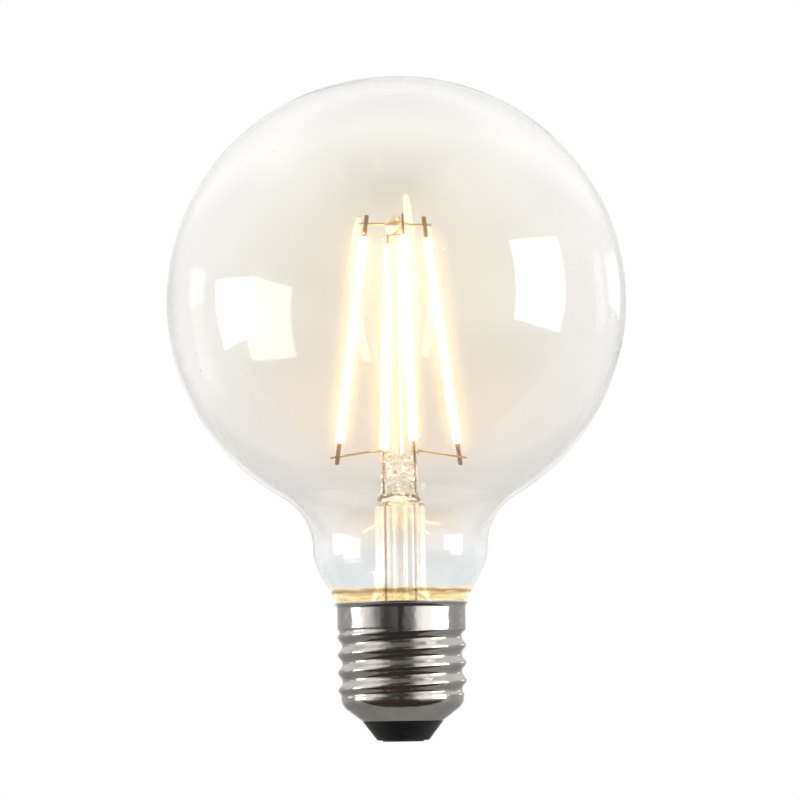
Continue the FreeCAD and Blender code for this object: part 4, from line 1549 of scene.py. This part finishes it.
class Room:
    """What surrounds the lamp, by direction.

    A direction has a height, the Z of its unit vector, and a bearing round the lamp: nought at the
    back, a quarter on the left, a half at the camera and three quarters on the right.
    """

    overhead_level = 0.14
    left_panel = Panel(0.173, 0.012, 0.03, 0.9)
    right_panel = Panel(0.888, 0.014, 0.034, 1.3)
    glazed_front = 0.55
    glazed_sides = 0.65
    backdrop_level = 0.82
    backdrop_steps = (Step(0.042, 0.058, 0.12), Step(0.07, 0.11, -0.05), Step(0.165, 0.20, 0.30))

    def __init__(self, graph: Graph) -> None:
        """Find the height and the bearing of a ray in a world's graph."""
        self.graph = graph
        way = graph.value("ShaderNodeTexCoord", {}, {}, "Generated")
        backward = graph.axis(way, "Y") * -1.0
        turn = graph.maths("ARCTAN2", graph.axis(way, "X"), backward)
        self.bearing = turn / (2 * math.pi) + 0.5
        self.height = graph.axis(way, "Z")

    def mirrored(self) -> Value:
        """Return how bright the room is in metal and on the outside of the glass."""
        back = [(0.0, 1.0), (0.035, 1.0), (0.06, 0.56), (0.20, 0.50), (0.285, 0.56)]
        left = [(0.29, 1.6), (0.33, 1.1), (0.37, 0.5), (0.40, 0.14), (0.43, 0.08)]
        front = [(0.478, 0.18), (0.484, 0.05), (0.508, 0.05), (0.514, 0.18), (0.553, 0.35)]
        right = [(0.575, 1.2), (0.61, 1.7), (0.66, 1.8), (0.70, 0.7), (0.80, 0.50)]
        end = [(0.94, 0.56), (0.965, 1.0), (1.0, 1.0)]
        low = self.graph.levels(self.bearing, back + left + front + right + end)
        high_left = [(0.0, 0.95), (0.18, 0.95), (0.23, 1.4), (0.34, 1.4), (0.43, 0.08)]
        high_right = [(0.54, 0.08), (0.62, 1.4), (0.73, 1.4), (0.78, 0.95), (1.0, 0.95)]
        high = self.graph.levels(self.bearing, high_left + high_right)
        lift = self.height.above(0.1, 0.4)
        overhead = self.height.above(0.75, 0.98)
        level = (low * (1 - lift) + high * lift) * (1 - overhead) + overhead * self.overhead_level
        panels = self.left_panel.at(self.bearing) + self.right_panel.at(self.bearing)
        return level + self.height.above(0.05, 0.07) * (1 - self.height.above(0.20, 0.24)) * panels

    def glazed(self, level: Value) -> Value:
        """Return how bright the room is to rays that are mirrored inside the glass.

        Args:
            level: How bright it is on the outside of the glass.

        Returns:
            The brightness: plain and pale at eye level, and that of the outside higher up.
        """
        beside = abs(self.bearing - 0.5).above(0.10, 0.32)
        eye_level = 1 - self.height.above(0.35, 0.7)
        return level + eye_level * (beside * self.glazed_sides + self.glazed_front - level)

    def backdrop(self) -> Value:
        """Return how bright the pale field behind the glass is, by height."""
        return sum((step.at(self.height) for step in self.backdrop_steps), self.backdrop_level)


@dataclass
class Studio:
    """Pale floor, white surroundings, softboxes and the camera of the photograph."""

    floor_level: float = -0.12
    floor_half: float = 3.0
    floor_edge: float = 20.0
    aim_level: float = 0.07
    camera_back: float = 0.70
    camera_level: float = 0.004
    lens: float = 153.2
    roll: float = -0.9
    shift: Point = (0.0024, 0.0012)
    ambient: float = 0.25
    bounces: int = 28

    def build_floor(self) -> None:
        """Lay the floor, its edge turned down a little."""
        half = self.floor_half / MM
        level = self.floor_level / MM
        rings = [[Vector((0.0, 0.0, level))]]
        for share, drop in ((0.2, 0.0), (1.0, 0.0), (1.02, self.floor_edge)):
            rings.append(circle(half * share, level - drop, 96))
        floor = skinned("studio_floor", rings)
        floor.data.materials.append(StudioFloor("floor_paper").material())

    def build_world(self) -> None:
        """Make the surroundings: white behind everything, a dim room with bright sides in reflections."""
        world = bpy.data.worlds.new("studio_room")
        world.use_nodes = True
        bpy.context.scene.world = world
        graph = Graph(world.node_tree)
        room = Room(graph)
        rays = Rays(graph)
        level = room.mirrored()
        strength = rays.seen + rays.through * room.backdrop() + rays.rest * self.ambient
        strength = strength + (rays.mirrored - rays.inside) * level + rays.inside * room.glazed(level)
        back = graph.value("ShaderNodeBackground", {}, {"Color": solid(WHITE), "Strength": strength})
        graph.node("ShaderNodeOutputWorld", {}, {"Surface": back})

    def build_lamps(self) -> None:
        """Hang the softboxes at the places that the glass mirrors in the photograph."""
        aim = Vector((0.0, 0.0, self.aim_level))
        boxes = [
            Softbox("left_box", (-0.9988, -0.045, -0.022), 0.305, 0.33, 5.0),
            Softbox("right_box", (0.956, -0.266, 0.11), 0.43, 0.50, 5.0),
        ]
        for box in boxes:
            box.place(aim)

    def build_camera(self) -> None:
        """Stand the camera a little below the lamp, looking up at it."""
        data = bpy.data.cameras.new("photo_camera")
        data.sensor_width = 36.0
        data.lens = self.lens
        data.shift_x, data.shift_y = self.shift
        camera = bpy.data.objects.new("photo_camera", data)
        camera.location = Vector((0.0, -self.camera_back, self.camera_level))
        aim = Vector((0.0, 0.0, self.aim_level))
        look = (aim - camera.location).to_track_quat("-Z", "Y").to_matrix()
        tilt = Matrix.Rotation(math.radians(self.roll), 3, "Z")
        camera.rotation_euler = (look @ tilt).to_euler()
        bpy.context.scene.collection.objects.link(camera)
        bpy.context.scene.camera = camera

    def build(self) -> None:
        """Build the studio and set how the picture is shown."""
        self.build_floor()
        self.build_world()
        self.build_lamps()
        self.build_camera()
        scene = bpy.context.scene
        scene.view_settings.view_transform = "Standard"
        scene.cycles.max_bounces = self.bounces
        scene.cycles.transmission_bounces = self.bounces


def main() -> None:
    """Build the lamp piece by piece, then the studio."""
    logging.basicConfig(level=logging.INFO, format="%(name)s %(message)s")
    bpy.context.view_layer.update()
    assemblies: list[Callable[[], None]] = [
        Envelope().build,
        Stem().build,
        FilamentCage().build,
        ScrewCap().build,
        Driver().dress,
        Studio().build,
    ]
    for assembly in assemblies:
        assembly()
    bpy.context.view_layer.update()


if __name__ == "__main__":
    main()
